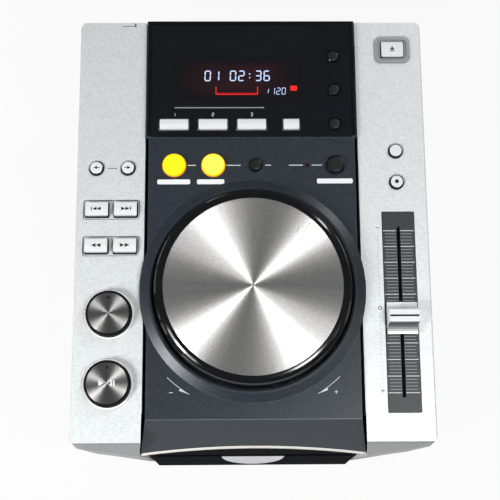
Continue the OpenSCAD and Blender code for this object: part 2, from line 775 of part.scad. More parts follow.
// A board under the deck with one low switch under each button
module key_board(u0, u1, v0, v1, switches)
    on_deck() union() {
        translate([u0, v0, board_w - board_t]) cube([u1 - u0, v1 - v0, board_t]);
        for (p = switches)
            translate([p.x, p.y, board_w + switch_h / 2 - 0.05])
                cube([switch_side, switch_side, switch_h + 0.1], center = true);
    }

module circuit_boards() {
    pair = [for (v = [search_v, track_v], s = [-1, 1]) [-wing_u + s * search_pair_u / 2, v]];
    folder = [for (s = [-1, 1]) [-wing_u + s * folder_half, folder_v]];
    bars = [for (u = bar_spots) [u, bar_v]];
    modes = [for (v = mode_v) [mode_u, v]];
    color(board_green) {
        left = -wing_u - 17.9;
        key_board(left, left + 35, front_v + 21, front_v + 96, [cue_uv, play_uv]);
        key_board(left, left + 35, front_v + 112, folder_v + 10, concat(pair, folder));
        key_board(right_u - 9.3, right_u + 14.2, master_uv.y - 12, eject_uv.y + 9,
            [range_uv, master_uv, eject_uv]);
        key_board(2.7 - head_w / 2, head_w / 2 - 2.7, loop_v - 12, rear_v - 5,
            concat(bars, modes, [loop_in_uv, loop_out_uv, reloop_uv, beat_uv, hold_uv]));
        block(main_board[0], main_board[1], main_board[2], main_board[3], main_board_z,
            main_board_z + board_t);
        for (c = [[-50, -22, 20, 20, 3], [-20, -20, 14, 14, 2], [-48, 16, 12, 22, 2.5], [-16, 20, 10, 8, 8]])
            translate([c[0], main_mid_y + c[1], main_board_z + board_t + c[4] / 2])
                cube([c[2], c[3], c[4]], center = true);
    }
}

module power_supply()
    color([0.55, 0.45, 0.25]) {
        block(supply_board[0], supply_board[1], supply_board[2], supply_board[3],
            main_board_z, main_board_z + board_t);
        block(22, 60, supply_mid_y - 28, supply_mid_y + 6, main_board_z + board_t,
            main_board_z + board_t + 28);
        for (p = [[26, 26], [42, 28], [57, 24]])
            translate([p.x, supply_mid_y + p.y, main_board_z + board_t]) cylinder(r = 6, h = 20);
    }

// Glass display tube on its two legs
module display_tube()
    color([0.10, 0.03, 0.04]) on_deck(tube_uv.x, tube_uv.y) union() {
        rounded_block([tube_size.x, tube_size.y], 1, window_under - 0.3 - tube_size.z, window_under - 0.3);
        for (s = [-1, 1])
            translate([s * (tube_size.x / 2 - 3) - 1, -10, board_w])
                cube([2, 20, window_under - 0.3 - tube_size.z - board_w + 0.1]);
    }

// ---------- Tempo slider ----------

module tempo_plate()
    color([0.26, 0.27, 0.28]) on_deck(right_u, tempo_v, -tempo_sink - tempo_plate_t) difference() {
        rounded_block([tempo_plate_w, tempo_plate_l], 0.8, 0, tempo_plate_t);
        rounded_block([tempo_slot_w, tempo_slot_l], tempo_slot_w / 2 - 0.1, -over, 10);
    }

// Metal channel of the slide control, with its slot along the top
module fader_body()
    color(steel) on_deck(right_u, tempo_v, fader_top - fader_size.z) difference() {
        translate([-fader_size.x / 2, -fader_size.y / 2, 0]) cube(fader_size);
        translate([-fader_size.x / 2 + fader_skin, -tempo_slot_l / 2, fader_skin])
            cube([fader_size.x - 2 * fader_skin, tempo_slot_l, fader_size.z - 2 * fader_skin]);
        translate([-tempo_slot_w / 2, -tempo_slot_l / 2, 0])
            cube([tempo_slot_w, tempo_slot_l, fader_size.z + over]);
    }

module fader_lever()
    color(steel) on_deck(right_u, knob_v) union() {
        translate([-lever_w / 2, -lever_l / 2, fader_top - fader_size.z / 2])
            cube([lever_w, lever_l, fader_size.z / 2 - fader_top + 6]);
        translate([-fader_size.x / 2 + fader_skin + slide_gap, -lever_l / 2,
            fader_top - fader_size.z + fader_skin + slide_gap])
            cube([fader_size.x - 2 * fader_skin - 2 * slide_gap, lever_l,
                fader_size.z - 2 * fader_skin - 2 * slide_gap]);
    }

// Cap with a raised finger ridge across it
module tempo_knob() {
    low = [knob_base.y / 2, 3.2];
    waist = 4.1;
    color([0.86, 0.87, 0.88]) on_deck(right_u, knob_v) difference() {
        translate([-knob_base.x / 2, 0, 0]) rotate([90, 0, 90]) linear_extrude(knob_base.x)
            polygon(concat([[-low.x, knob_low], [low.x, knob_low], [low.x, low.y]],
                [for (a = [0 : 15 : 90]) [waist + (low.x - waist) * (1 - sin(a)),
                    low.y + (knob_top - 3.5 - low.y) * (1 - cos(a))]],
                [[waist, knob_top - 0.4], [waist - 0.4, knob_top], [-waist + 0.4, knob_top],
                    [-waist, knob_top - 0.4]],
                [for (a = [90 : -15 : 0]) [-waist - (low.x - waist) * (1 - sin(a)),
                    low.y + (knob_top - 3.5 - low.y) * (1 - cos(a))]],
                [[-low.x, low.y]]));
        translate([-lever_w / 2 - 0.1, -lever_l / 2 - 0.1, -over])
            cube([lever_w + 0.2, lever_l + 0.2, 8]);
    }
}

// ---------- Lamps and bezels ----------

module lamp_rings()
    color([0.92, 0.92, 0.90]) for (uv = [cue_uv, play_uv])
        on_deck(uv.x, uv.y) union() {
            tube(lamp_ring_r(), transport_r + button_gap, -wall - 0.5, 0.3);
            tube(lamp_ring_r() + 1.5, transport_r + button_gap, -wall - 1.2, -wall - 0.05);
        }

module loop_lamp()
    color([0.10, 0.04, 0.03]) on_deck(loop_lamp_uv.x, loop_lamp_uv.y) union() {
        translate([0, 0, board_w]) cylinder(r = lamp_r, h = deck_rise - 0.4 - board_w);
        translate([0, 0, board_w]) cylinder(r = lamp_r + 0.5, h = 2);
    }

module eject_bezel()
    color(silver) on_deck(eject_uv.x, eject_uv.y) difference() {
        union() {
            rounded_block([22.8, 18], 4.4, 0.05, 0.9);
            rounded_block([19.7, 14.7], 3.3, -wall, 0.2);
        }
        rounded_block([18.4, 13.6], 3, 0.2, over);
        rounded_block([15.2, 11.4], 1.4, -wall - over, over);
    }

// ---------- Jog dial ----------

module dial_profile() {
    shoulder = 9.2;
    rim = jog_plate_r + 0.9;
    polygon(concat(
        [[spindle_r, jog_top - plate_t], [jog_plate_r + 0.2, jog_top - plate_t],
            [jog_plate_r + 0.2, jog_top - 0.2], [rim, jog_top - 0.2]],
        [for (a = [75 : -15 : 0]) [rim + (jog_r - rim) * cos(a),
            shoulder + (jog_top - 0.2 - shoulder) * sin(a)]],
        [[jog_r, dial_skirt], [jog_r - dial_shell, dial_skirt], [jog_r - dial_shell, jog_top - 4.4],
            [bearing_r, jog_top - 4.4], [bearing_r, bearing_top + 0.3], [spindle_r, bearing_top + 0.3]]));
}

module jog_dial()
    color(gloss_black) on_deck(0, jog_v) difference() {
        union() {
            rotate_extrude($fn = 128) dial_profile();
            tube(42, 40.4, 0, jog_top - 4);
        }
        for (i = [0 : encoder_slots - 1])
            rotate([0, 0, i * 360 / encoder_slots]) translate([39, -1.2, -over])
                cube([4, 2.4, 6]);
    }

module jog_plate()
    color(brushed) on_deck(0, jog_v, jog_top - plate_t) union() {
        cylinder(r = jog_plate_r, h = plate_t - 0.25, $fn = 128);
        translate([0, 0, plate_t - 0.25])
            cylinder(r1 = jog_plate_r, r2 = jog_plate_r - 0.3, h = 0.25, $fn = 128);
    }

module jog_spindle()
    color(steel) on_deck(0, jog_v) union() {
        translate([0, 0, bearing_end - 3])
            cylinder(r = spindle_r - 0.01, h = jog_top - plate_t - bearing_end + 3 - 0.05);
        translate([0, 0, bearing_end - 1.6]) cylinder(r = spindle_r + 2, h = 1.3);
    }

module jog_bearing()
    color(steel) on_deck(0, jog_v) union() {
        tube(bearing_r - 0.2, spindle_r + shaft_gap, bearing_end, bearing_top);
        tube(bearing_flange_r, bearing_r - 1, well_floor - well_floor_t - 2, well_floor - well_floor_t);
    }

// ---------- Disc drive ----------

module drive_chassis() {
    side_top = 46;
    guide_z = slot_high + 0.4;
    color(steel) difference() {
        union() {
            block(-frame_half, frame_half, frame_front, frame_rear, frame_z, frame_z + frame_t);
            for (s = [-1, 1]) {
                translate([s * (frame_half - frame_side_t / 2), frame_front, frame_z])
                    translate([-frame_side_t / 2, 0, 0]) cube([frame_side_t, frame_rear - frame_front, 16]);
                translate([s * (frame_half - frame_side_t / 2), arm_pivot.x - 6, frame_z])
                    translate([-frame_side_t / 2, 0, 0]) cube([frame_side_t, 10, side_top - frame_z]);
                translate([s * 23 - 1, arm_pivot.x - 4, arm_pivot.y - 3])
                    cube([2, 8, side_top - arm_pivot.y + 3]);
            }
            block(-frame_half, frame_half, frame_front, frame_front + 10, guide_z, guide_z + 1.5);
            block(-frame_half, frame_half, arm_pivot.x - 6, arm_pivot.x + 4, side_top - 1.5, side_top);
            for (x = rod_x) {
                block(x - 4, x + 4, rod_front - 1, rod_front + 1, rod_z - 3, frame_z + 0.5);
                block(x - 4, x + 4, rod_rear - 2, rod_rear, rod_z - 3, frame_z + 0.5);
            }
            block(screw_x - 4, screw_x + 4, rod_rear - 2, rod_rear, rod_z - 3, frame_z + 0.5);
        }
        block(-frame_half + frame_side_t, frame_half - frame_side_t, frame_front - over, roller_pivot.x + 5,
            frame_z - over, frame_z + frame_t + over);
        block(-29, 35, sled_front - 0.8, rod_rear - 2, frame_z - over, frame_z + frame_t + over);
        translate([0, disc_y, frame_z - over]) cylinder(r = 4, h = frame_t + 2 * over);
        rod_x_axis(pin_r + shaft_gap, -big / 2, big / 2, arm_pivot.x, arm_pivot.y);
        rod_x_axis(pin_r + shaft_gap, -big / 2, big / 2, roller_pivot.x, roller_pivot.y);
        for (x = rod_x)
            rod_y_axis(pin_r + 0.02, rod_front - 5, rod_rear + 5, x, rod_z);
        rod_y_axis(pin_r + shaft_gap, rod_rear - 10, rod_rear + 5, screw_x, rod_z);
    }
}

module drive_dampers()
    color([0.06, 0.06, 0.06]) for (p = damper_spots)
        translate([p.x, p.y, frame_z - damper_h]) rotate_extrude()
            polygon([[0, 0], [damper_r, 0], [damper_r, 2.5], [damper_r - 1.6, 3.6], [damper_r - 1.6, 5.4],
                [damper_r, 6.5], [damper_r, damper_h], [0, damper_h]]);

module drive_motors()
    color([0.60, 0.60, 0.58]) {
        translate([0, disc_y, frame_z - motor_h]) cylinder(r = motor_r, h = motor_h);
        translate([-37, disc_y + 7, pan_top + 1.2]) cylinder(r = 7, h = frame_z - pan_top - 1.2);
        difference() {
            rod_y_axis(5.6, sled_front - 18, sled_front - 3, screw_x, rod_z);
            rod_y_axis(pin_r + shaft_gap, sled_front - 8, sled_front, screw_x, rod_z);
        }
        block(screw_x - 5, screw_x + 5, sled_front - 15, sled_front - 6, rod_z + 4, frame_z);
    }

module guide_rods()
    color(steel) for (x = rod_x)
        rod_y_axis(pin_r, rod_front - 1, rod_rear, x, rod_z);

module turntable()
    color(satin_black) translate([0, disc_y, 0]) union() {
        translate([0, 0, frame_z + 0.3]) cylinder(r = 3.6, h = table_z - frame_z - 1);
        translate([0, 0, frame_z + frame_t + 0.6])
            cylinder(r = turntable_r, h = table_z - frame_z - frame_t - 0.6, $fn = 96);
        translate([0, 0, table_z]) cylinder(r1 = 7.4, r2 = 6.4, h = cone_h);
    }

// The arm as it lies when it holds a disc, then lifted to its rest
module lifted()
    translate([0, arm_pivot.x, arm_pivot.y]) rotate([-clamp_drop, 0, 0])
        translate([0, -arm_pivot.x, -arm_pivot.y]) children();

module clamp_arm()
    color(steel) lifted() difference() {
        union() {
            translate([0, disc_y, arm_z]) cylinder(r = 13, h = arm_t);
            translate([0, 0, arm_z]) linear_extrude(arm_t)
                polygon([[-11, disc_y], [11, disc_y], [21.5, arm_pivot.x - 14], [21.5, arm_pivot.x + 3],
                    [-21.5, arm_pivot.x + 3], [-21.5, arm_pivot.x - 14]]);
            for (s = [-1, 1])
                translate([s * 20.75 - 0.75, arm_pivot.x - 3, arm_z])
                    cube([1.5, 6, arm_pivot.y + 3 - arm_z]);
            rod_x_axis(pin_r, -25, 25, arm_pivot.x, arm_pivot.y);
        }
        translate([0, disc_y, arm_z - over]) cylinder(r = 5.8, h = arm_t + 2 * over);
        translate([0, (disc_y + arm_pivot.x) / 2, arm_z - over]) cylinder(r = 8, h = arm_t + 2 * over);
    }

module disc_clamper()
    color(satin_black) lifted() translate([0, disc_y, 0]) difference() {
        union() {
            translate([0, 0, clamper_low]) cylinder(r = clamper_r, h = 2.5, $fn = 96);
            translate([0, 0, clamper_low]) cylinder(r = 5, h = arm_z + arm_t + 0.3 - clamper_low + 1.5);
            translate([0, 0, arm_z + arm_t + 0.3]) cylinder(r = 8, h = 1.5);
        }
        translate([0, 0, clamper_low - over]) cylinder(r = 7.9, h = over + 0.9);
    }

// Laser pickup on its sled, with the lens on top
module pickup_sled() {
    low = rod_z - 4;
    high = frame_z + frame_t + 1.4;
    mid = sled_front + sled_len / 2;
    color([0.18, 0.18, 0.19]) difference() {
        union() {
            block(-25, 21, sled_front, sled_front + sled_len, low, rod_z + 4);
            block(-12, 12, sled_front + 1, sled_front + 18, rod_z, high);
            block(20, 31, mid - 4, mid + 4, low, rod_z + 4);
            translate([0, sled_front + 9, high]) cylinder(r = 3.2, h = 1.6);
        }
        for (x = rod_x)
            rod_y_axis(pin_r + shaft_gap, sled_front - over, sled_front + sled_len + over, x, rod_z);
        rod_y_axis(pin_r + 0.3, sled_front - over, sled_front + sled_len + over, screw_x, rod_z);
    }
}

module lead_screw()
    color(steel) rod_y_axis(pin_r, sled_front - 7.6, rod_rear, screw_x, rod_z);

module roller_bracket() {
    ear = roller_half + 3;
    color(steel) difference() {
        union() {
            for (s = [-1, 1]) {
                translate([s * ear - 0.6, roller_y - 3.5, 23])
                    cube([1.2, roller_pivot.x - roller_y + 6.5, 6.4]);
                translate([s * (ear + (frame_half - ear) / 2) - (frame_half - ear) / 2, roller_pivot.x,
                    roller_pivot.y])
                    rotate([0, 90, 0]) cylinder(r = pin_r, h = frame_half - ear);
            }
            block(-ear, ear, roller_pivot.x - 3, roller_pivot.x + 3, 23, 24.2);
        }
        rod_x_axis(pin_r + shaft_gap, -big / 2, big / 2, roller_y, roller_z);
    }
}

// Shaft with two tapered rubber sleeves, thinner at the middle so that only the disc's rim is gripped
module loading_roller()
    color([0.09, 0.09, 0.09]) union() {
        rod_x_axis(pin_r, -roller_half - 4.5, roller_half + 4.5, roller_y, roller_z);
        for (s = [-1, 1])
            translate([0, roller_y, roller_z]) rotate([0, s * 90, 0])
                cylinder(r1 = roller_r - 0.8, r2 = roller_r, h = roller_half);
    }

// ---------- Buttons ----------

// A round button: cap with a bevelled edge, a retaining flange under its panel, and a stem
module round_button(uv, r, top, under, bevel, shade)
    color(shade) on_deck(uv.x, uv.y) union() {
        translate([0, 0, under - flange_gap - flange_t])
            cylinder(r = r, h = top - bevel - under + flange_gap + flange_t);
        translate([0, 0, top - bevel]) cylinder(r1 = r, r2 = r - bevel, h = bevel);
        translate([0, 0, under - flange_gap - flange_t]) cylinder(r = r + 0.9, h = flange_t);
        translate([0, 0, stem_end]) cylinder(r = stem_r, h = under - flange_gap - stem_end);
    }

// A button with a rectangular cap
module bar_button(uv, size, top, under, r, shade)
    color(shade) on_deck(uv.x, uv.y) union() {
        intersection() {
            rounded_block(size, r, under - flange_gap - flange_t, top);
            translate([-size.x / 2, 0, 0]) rotate([90, 0, 90]) linear_extrude(size.x)
                polygon([[-size.y / 2, under - 5], [size.y / 2, under - 5], [size.y / 2, top - 0.9],
                    [size.y / 2 - 0.5, top - 0.5], [0, top], [-size.y / 2 + 0.5, top - 0.4],
                        [-size.y / 2, top - 0.9]]);
        }
        rounded_block(size + [1.6, 1.6], r, under - flange_gap - flange_t, under - flange_gap);
        translate([0, 0, stem_end]) cylinder(r = stem_r, h = under - flange_gap - stem_end);
    }

// A large transport button: black skirt, thin metal plate let into its top, and a lamp hole
module transport_button(uv) {
    top = 5.2;
    under = -wall - 1.2;
    color(satin_black) on_deck(uv.x, uv.y) difference() {
        union() {
            translate([0, 0, under - flange_gap - flange_t])
                cylinder(r = transport_r, h = top - 0.6 - under + flange_gap + flange_t, $fn = 96);
            translate([0, 0, top - 0.6]) cylinder(r1 = transport_r, r2 = transport_r - 0.6, h = 0.6,
                $fn = 96);
            translate([0, 0, under - flange_gap - flange_t]) cylinder(r = transport_r + 1.2, h = flange_t);
            translate([0, 0, stem_end]) cylinder(r = stem_r, h = under - stem_end);
        }
        translate([0, 0, top - 0.5]) cylinder(r = transport_plate_r + 0.05, h = 2);
        translate([0, transport_plate_r - 3, top - 3]) cylinder(r = 0.8, h = 5, $fn = 24);
    }
    color(brushed) on_deck(uv.x, uv.y) difference() {
        translate([0, 0, top - 0.55]) cylinder(r = transport_plate_r, h = 0.65, $fn = 96);
        translate([0, transport_plate_r - 3, top - 3]) cylinder(r = 0.8, h = 5, $fn = 24);
    }
}

top_cover();
centre_panel();
display_window();
front_bezel();
finger_scoop();
base_pan();
rubber_feet();
case_screws();
jack_panel();
rca_jacks();
control_jack();
mains_inlet();
power_button();
circuit_boards();
power_supply();
display_tube();
tempo_plate();
fader_body();
fader_lever();
tempo_knob();
lamp_rings();
loop_lamp();
eject_bezel();
jog_dial();
jog_plate();
jog_spindle();
jog_bearing();
drive_chassis();
drive_dampers();
drive_motors();
guide_rods();
turntable();
clamp_arm();
disc_clamper();
pickup_sled();
lead_screw();
roller_bracket();
loading_roller();
bar_button(eject_uv, eject_size, 2, -wall, 1.2, button_white);  // eject_button
round_button(range_uv, silver_r, 2, -wall, 0.9, button_white);  // tempo_range_button
round_button(master_uv, silver_r, 2, -wall, 0.9, button_white);  // master_tempo_button
round_button([-wing_u - folder_half, folder_v], silver_r, 2, -wall, 0.9, button_white);  // folder_back_button
round_button([-wing_u + folder_half, folder_v], silver_r, 2, -wall, 0.9, button_white);  // folder_next_button
bar_button([-wing_u - search_pair_u / 2, track_v], [search_w, search_l], 3, -wall, 0.8, silver);  // track_back_button
bar_button([-wing_u + search_pair_u / 2, track_v], [search_w, search_l], 3, -wall, 0.8, silver);  // track_next_button
bar_button([-wing_u - search_pair_u / 2, search_v], [search_w, search_l], 3, -wall, 0.8, silver);  // search_back_button
bar_button([-wing_u + search_pair_u / 2, search_v], [search_w, search_l], 3, -wall, 0.8, silver);  // search_forward_button
transport_button(cue_uv);  // cue_button
transport_button(play_uv);  // play_button
round_button(loop_in_uv, loop_lit_r, 5, 0, 1.2, lit_yellow);  // loop_in_button
round_button(loop_out_uv, loop_lit_r, 5, 0, 1.2, lit_yellow);  // loop_out_button
round_button(reloop_uv, reloop_r, 4.4, 0, 0.8, satin_black);  // reloop_button
round_button(beat_uv, beat_r, 4.8, 0, 1, satin_black);  // beat_loop_button
bar_button([bar_spots[0], bar_v], bar_size, 4.2, window_under, 0.6, button_white);  // effect_one_button
bar_button([bar_spots[1], bar_v], bar_size, 4.2, window_under, 0.6, button_white);  // effect_two_button
bar_button([bar_spots[2], bar_v], bar_size, 4.2, window_under, 0.6, button_white);  // effect_three_button
bar_button(hold_uv, hold_size, 4.2, window_under, 0.6, button_white);  // hold_button
round_button([mode_u, mode_v[0]], mode_r, 3.4, window_under, 0.6, satin_black);  // text_mode_button
round_button([mode_u, mode_v[1]], mode_r, 3.4, window_under, 0.6, satin_black);  // time_mode_button
round_button([mode_u, mode_v[2]], mode_r, 3.4, window_under, 0.6, satin_black);  // auto_cue_button
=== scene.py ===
"""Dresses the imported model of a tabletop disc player: finishes, printing, lamps, display and stage."""

import math

import bmesh
import bpy
from bpy.props import FloatProperty, FloatVectorProperty, IntProperty, PointerProperty
from mathutils import Matrix, Vector


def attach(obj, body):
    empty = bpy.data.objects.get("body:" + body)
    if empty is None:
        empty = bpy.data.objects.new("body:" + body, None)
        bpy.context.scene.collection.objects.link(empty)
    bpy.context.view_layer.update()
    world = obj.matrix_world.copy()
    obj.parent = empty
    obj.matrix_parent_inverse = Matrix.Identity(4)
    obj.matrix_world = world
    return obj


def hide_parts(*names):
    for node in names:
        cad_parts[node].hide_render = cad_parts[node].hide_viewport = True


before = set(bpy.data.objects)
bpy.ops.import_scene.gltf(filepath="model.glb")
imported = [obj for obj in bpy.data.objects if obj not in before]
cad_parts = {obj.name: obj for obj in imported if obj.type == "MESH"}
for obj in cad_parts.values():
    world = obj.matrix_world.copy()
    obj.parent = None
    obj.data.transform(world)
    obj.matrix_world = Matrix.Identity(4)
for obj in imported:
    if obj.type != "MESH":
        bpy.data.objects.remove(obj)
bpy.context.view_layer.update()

bl_info = {
    "name": "Tabletop disc player",
    "version": (1, 0, 0),
    "blender": (4, 5, 0),
    "location": "View3D > Sidebar > Player",
    "description": "Adds the finishes and fine pieces of a tabletop disc player to its packed model",
    "category": "Object",
}

MM = 0.001

# Places on the sloping deck, in millimetres: u to the right, v to the rear, w out of the silver wings' face
DECK_TILT = math.radians(6.0)
DECK_MIDDLE = Vector((0.0, 1.75, 88.5425)) * MM
DECK_FRONT, DECK_REAR = -133.984, 133.984
DECK_TOP = 2.5
HEAD_FRONT = 56.6
JOG_V = DECK_FRONT + 92.65
PLATE_TOP = 14.6
WING_U = 87.1
CUE = (-WING_U, DECK_FRONT + 77.8)
PLAY = (-WING_U, DECK_FRONT + 35.6)
TRANSPORT_TOP = 5.4
TRANSPORT_FACE_THICK = 0.12
TRANSPORT_LAMP = 9.4
SEARCH_U = 8.85
SEARCH_V = DECK_FRONT + 120.3
TRACK_V = DECK_FRONT + 143.4
SQUARE_KEY_TOP = 2.98
POCKET_FLOOR = -0.7
FOLDER_U = 9.8
FOLDER_V = DECK_REAR - 97.8
ROUND_KEY_TOP = 2.0
RANGE = (90.3, DECK_REAR - 87.0)
MASTER = (90.3, DECK_REAR - 107.3)
EJECT = (90.5, DECK_REAR - 19.0)
EJECT_TOP = 1.85
TEMPO = (90.3, DECK_FRONT + 79.6)
KNOB_V = TEMPO[1] - 5.3
KNOB_TOP = 12.5
INLAY_TOP = -0.8
TICK_U, TICK_WIDTH = 4.75, 7.1
LONG_TICK_U, LONG_TICK_WIDTH = 5.3, 8.2
TRAVEL_DOTS = 47.0
TRAVEL_U = TEMPO[0] - 13.0
LOOP_V = DECK_REAR - 96.8
LOOP_IN_U, LOOP_OUT_U = -48.4, -24.1
LOOP_KEY_TOP = 5.0
LOOP_KEY_RADIUS = 7.3
BAR_V = DECK_REAR - 69.9
DOME_SHARE = 0.76
MODE_U = 52.4
DISPLAY_MIDDLE = (-7.3, 94.6)
DISPLAY_SIZE = (77.8, 26.6)

# The folded nose, its arched lip, and the rear panel
NOSE_CREASE = DECK_FRONT + 14.0
NOSE_SLOPE = math.radians(60.0)
LIP_HALF = 69.6
LIP_END = 50.0
LIP_ARCH = 6.0
LIP_BEAD = 1.35
PANEL_FACE = 125.0
JACKS = ((14.0, "orange"), (36.0, "red"), (50.0, "white"))
JACK_OUT = 1.2
POWER_X = -74.0
POWER_OUT = 6.0
SOCKET_Z = 30.0

# The lamps: each a strip between two places in the deck's frame, in metres, then its breadth and its watts.
# The places are chosen for the turn of the streaks that they raise on the dial's turned plate.
LAMPS = (
    ("strip_front", (0.180, -0.121, 0.827), (0.346, -0.368, 0.704), 0.11, 2.7),
    ("strip_rear", (0.633, 0.798, 1.208), (0.995, 1.114, 0.490), 0.15, 5.2),
    ("strip_left", (-0.557, -0.352, 0.703), (-0.686, -0.465, 0.502), 0.12, 3.1),
    ("soft_right", (1.56, -0.59, 1.81), (1.56, -0.29, 1.81), 0.3, 5.6),
    ("soft_left", (-0.624, -0.250, 0.430), (-0.424, -0.470, 0.430), 0.3, 2.4),
)
SKY_STRENGTH = 0.13
FLOOR_WHITE = 0.92
CAMERA_PLACE = (-11.62, -171.57, 667.41)
CAMERA_TILT, CAMERA_YAW, CAMERA_ROLL = map(math.radians, (13.083, -0.842, -0.226))
CAMERA_LENS = 80.27


def linear(red, green, blue):
    """The linear colour of an eight-bit display colour."""

    def one(value):
        value /= 255.0
        return value / 12.92 if value <= 0.04045 else ((value + 0.055) / 1.055) ** 2.4

    return (one(red), one(green), one(blue))


# ---------- What a user may change ----------


def colour_property(name, description, *eight_bit):
    return FloatVectorProperty(
        name=name, description=description, subtype="COLOR", size=3, min=0.0, max=1.0, default=linear(*eight_bit)
    )


def length_property(name, description, value, low, high):
    """A length whose default and limits are given in millimetres."""
    return FloatProperty(
        name=name, description=description, default=value * MM, min=low * MM, max=high * MM,
        unit="LENGTH", precision=5,
    )


class PlayerColours(bpy.types.PropertyGroup):
    """Colours of the finishes."""

    silver: colour_property("Silver", "Paint of the wings", 232, 236, 236)
    slate: colour_property("Slate", "Moulded centre deck", 46, 53, 60)
    window: colour_property("Window", "Back of the display window", 13, 15, 22)
    plate: colour_property("Jog plate", "Turned metal on the dial", 237, 235, 232)
    transport: colour_property("Transport plate", "Turned metal on the large buttons", 172, 171, 170)
    inlay: colour_property("Inlay", "Plate of the tempo slider", 62, 67, 68)
    white: colour_property("White keys", "Small buttons and slider knob", 232, 233, 234)
    yellow: colour_property("Lit keys", "Light of the loop buttons", 255, 244, 20)
    digits: colour_property("Digits", "Light of the display's digits", 176, 196, 232)
    red: colour_property("Red segments", "Light of the display's red parts", 214, 34, 30)
    print_light: colour_property("Light print", "Printing on the dark deck", 206, 212, 218)
    print_dark: colour_property("Dark print", "Printing on the silver wings", 84, 88, 90)


class PlayerSizes(bpy.types.PropertyGroup):
    """Sizes of the printed and fine pieces."""

    ink: length_property("Ink thickness", "Height of printing above its surface", 0.03, 0.01, 0.2)
    line: length_property("Printed line", "Width of a printed line", 0.55, 0.2, 2)
    tick_pitch: length_property("Tick pitch", "Distance between two lines of the tempo scale", 2.0, 1, 6)
    tick_count: IntProperty(
        name="Ticks", description="Number of lines on the tempo scale", default=51, min=5, max=120
    )
    dot_pitch: length_property("Dot pitch", "Distance between two dots of the travel scale", 2.5, 1, 6)
    floor: length_property("Floor", "Side of the studio floor", 6000, 1000, 20000)


def tint(colour):
    """A colour by its name in the user's list, or from eight-bit numbers."""
    return tuple(getattr(bpy.context.scene.player_colours, colour)) if isinstance(colour, str) else linear(*colour)


def toned(colour, factor):
    """A lighter or darker tone of a colour."""
    return [min(1.0, part * factor) for part in colour]


# ---------- Places ----------


def deck_matrix(u=0.0, v=0.0, w=0.0):
    """The frame of a place on the sloping deck, from millimetres."""
    place = Matrix.Translation(DECK_MIDDLE) @ Matrix.Rotation(DECK_TILT, 4, "X")
    return place @ Matrix.Translation(Vector((u, v, w)) * MM)


def deck_point(u, v, w):
    return deck_matrix(u, v, w).translation


def rear_matrix(x, out):
    """The frame of a place on the rear panel, with its Z to the rear."""
    return Matrix.Translation(Vector((x, PANEL_FACE + out, SOCKET_Z)) * MM) @ Matrix.Rotation(-math.pi / 2, 4, "X")


# ---------- Node building ----------


def give(tree, socket, value):
    """Links an output to a socket, or sets the socket's own value."""
    if isinstance(value, bpy.types.NodeSocket):
        tree.links.new(value, socket)
    else:
        socket.default_value = (*value[:3], 1.0) if socket.type == "RGBA" else value


def add(tree, kind, *inputs, **settings):
    """A node. Plain values go to its inputs in order, and those whose key has a capital by the input's name."""
    node = tree.nodes.new(kind if kind.startswith("GeometryNode") else "ShaderNode" + kind)
    named = {key.replace("_", " "): value for key, value in settings.items() if key[0].isupper()}
    for key, value in settings.items():
        if not key[0].isupper():
            setattr(node, key, value)
    for index, value in [*enumerate(inputs), *named.items()]:
        give(tree, node.inputs[index], value)
    return node


def calculate(tree, operation, *values, clamp=False):
    return add(tree, "Math", *values, operation=operation, use_clamp=clamp).outputs[0]


def spread(tree, value, low, high, out_low=0.0, out_high=1.0):
    """Carries a value from one range to another, and keeps it there."""
    return add(tree, "MapRange", value, low, high, out_low, out_high, clamp=True).outputs[0]


def mixed(tree, factor, first, second):
    """Mixes two colours, each an output or a colour."""
    node = add(tree, "Mix", factor, data_type="RGBA")
    give(tree, node.inputs[6], first)
    give(tree, node.inputs[7], second)
    return node.outputs[2]


def on_object(tree):
    return add(tree, "TexCoord").outputs["Object"]


def noise(tree, scale, detail, place=None, **settings):
    """Noise on the object's own coordinates, or at a given place."""
    return add(tree, "TexNoise", Vector=place or on_object(tree), Scale=scale, Detail=detail, **settings).outputs[0]


def facing(tree, axis):
    """How far the surface itself faces along X, Y or Z."""
    return add(tree, "SeparateXYZ", add(tree, "NewGeometry").outputs["True Normal"]).outputs[axis]


def new_group(name, inputs, outputs):
    """An empty node group with named sockets. Returns it with what it is given and what it gives."""
    group = bpy.data.node_groups.new(name, "ShaderNodeTree")
    for label, kind, value in inputs:
        socket = group.interface.new_socket(label, in_out="INPUT", socket_type="NodeSocket" + kind)
        socket.default_value = value
    for label, kind in outputs:
        group.interface.new_socket(label, in_out="OUTPUT", socket_type="NodeSocket" + kind)
    return group, group.nodes.new("NodeGroupInput").outputs, group.nodes.new("NodeGroupOutput").inputs


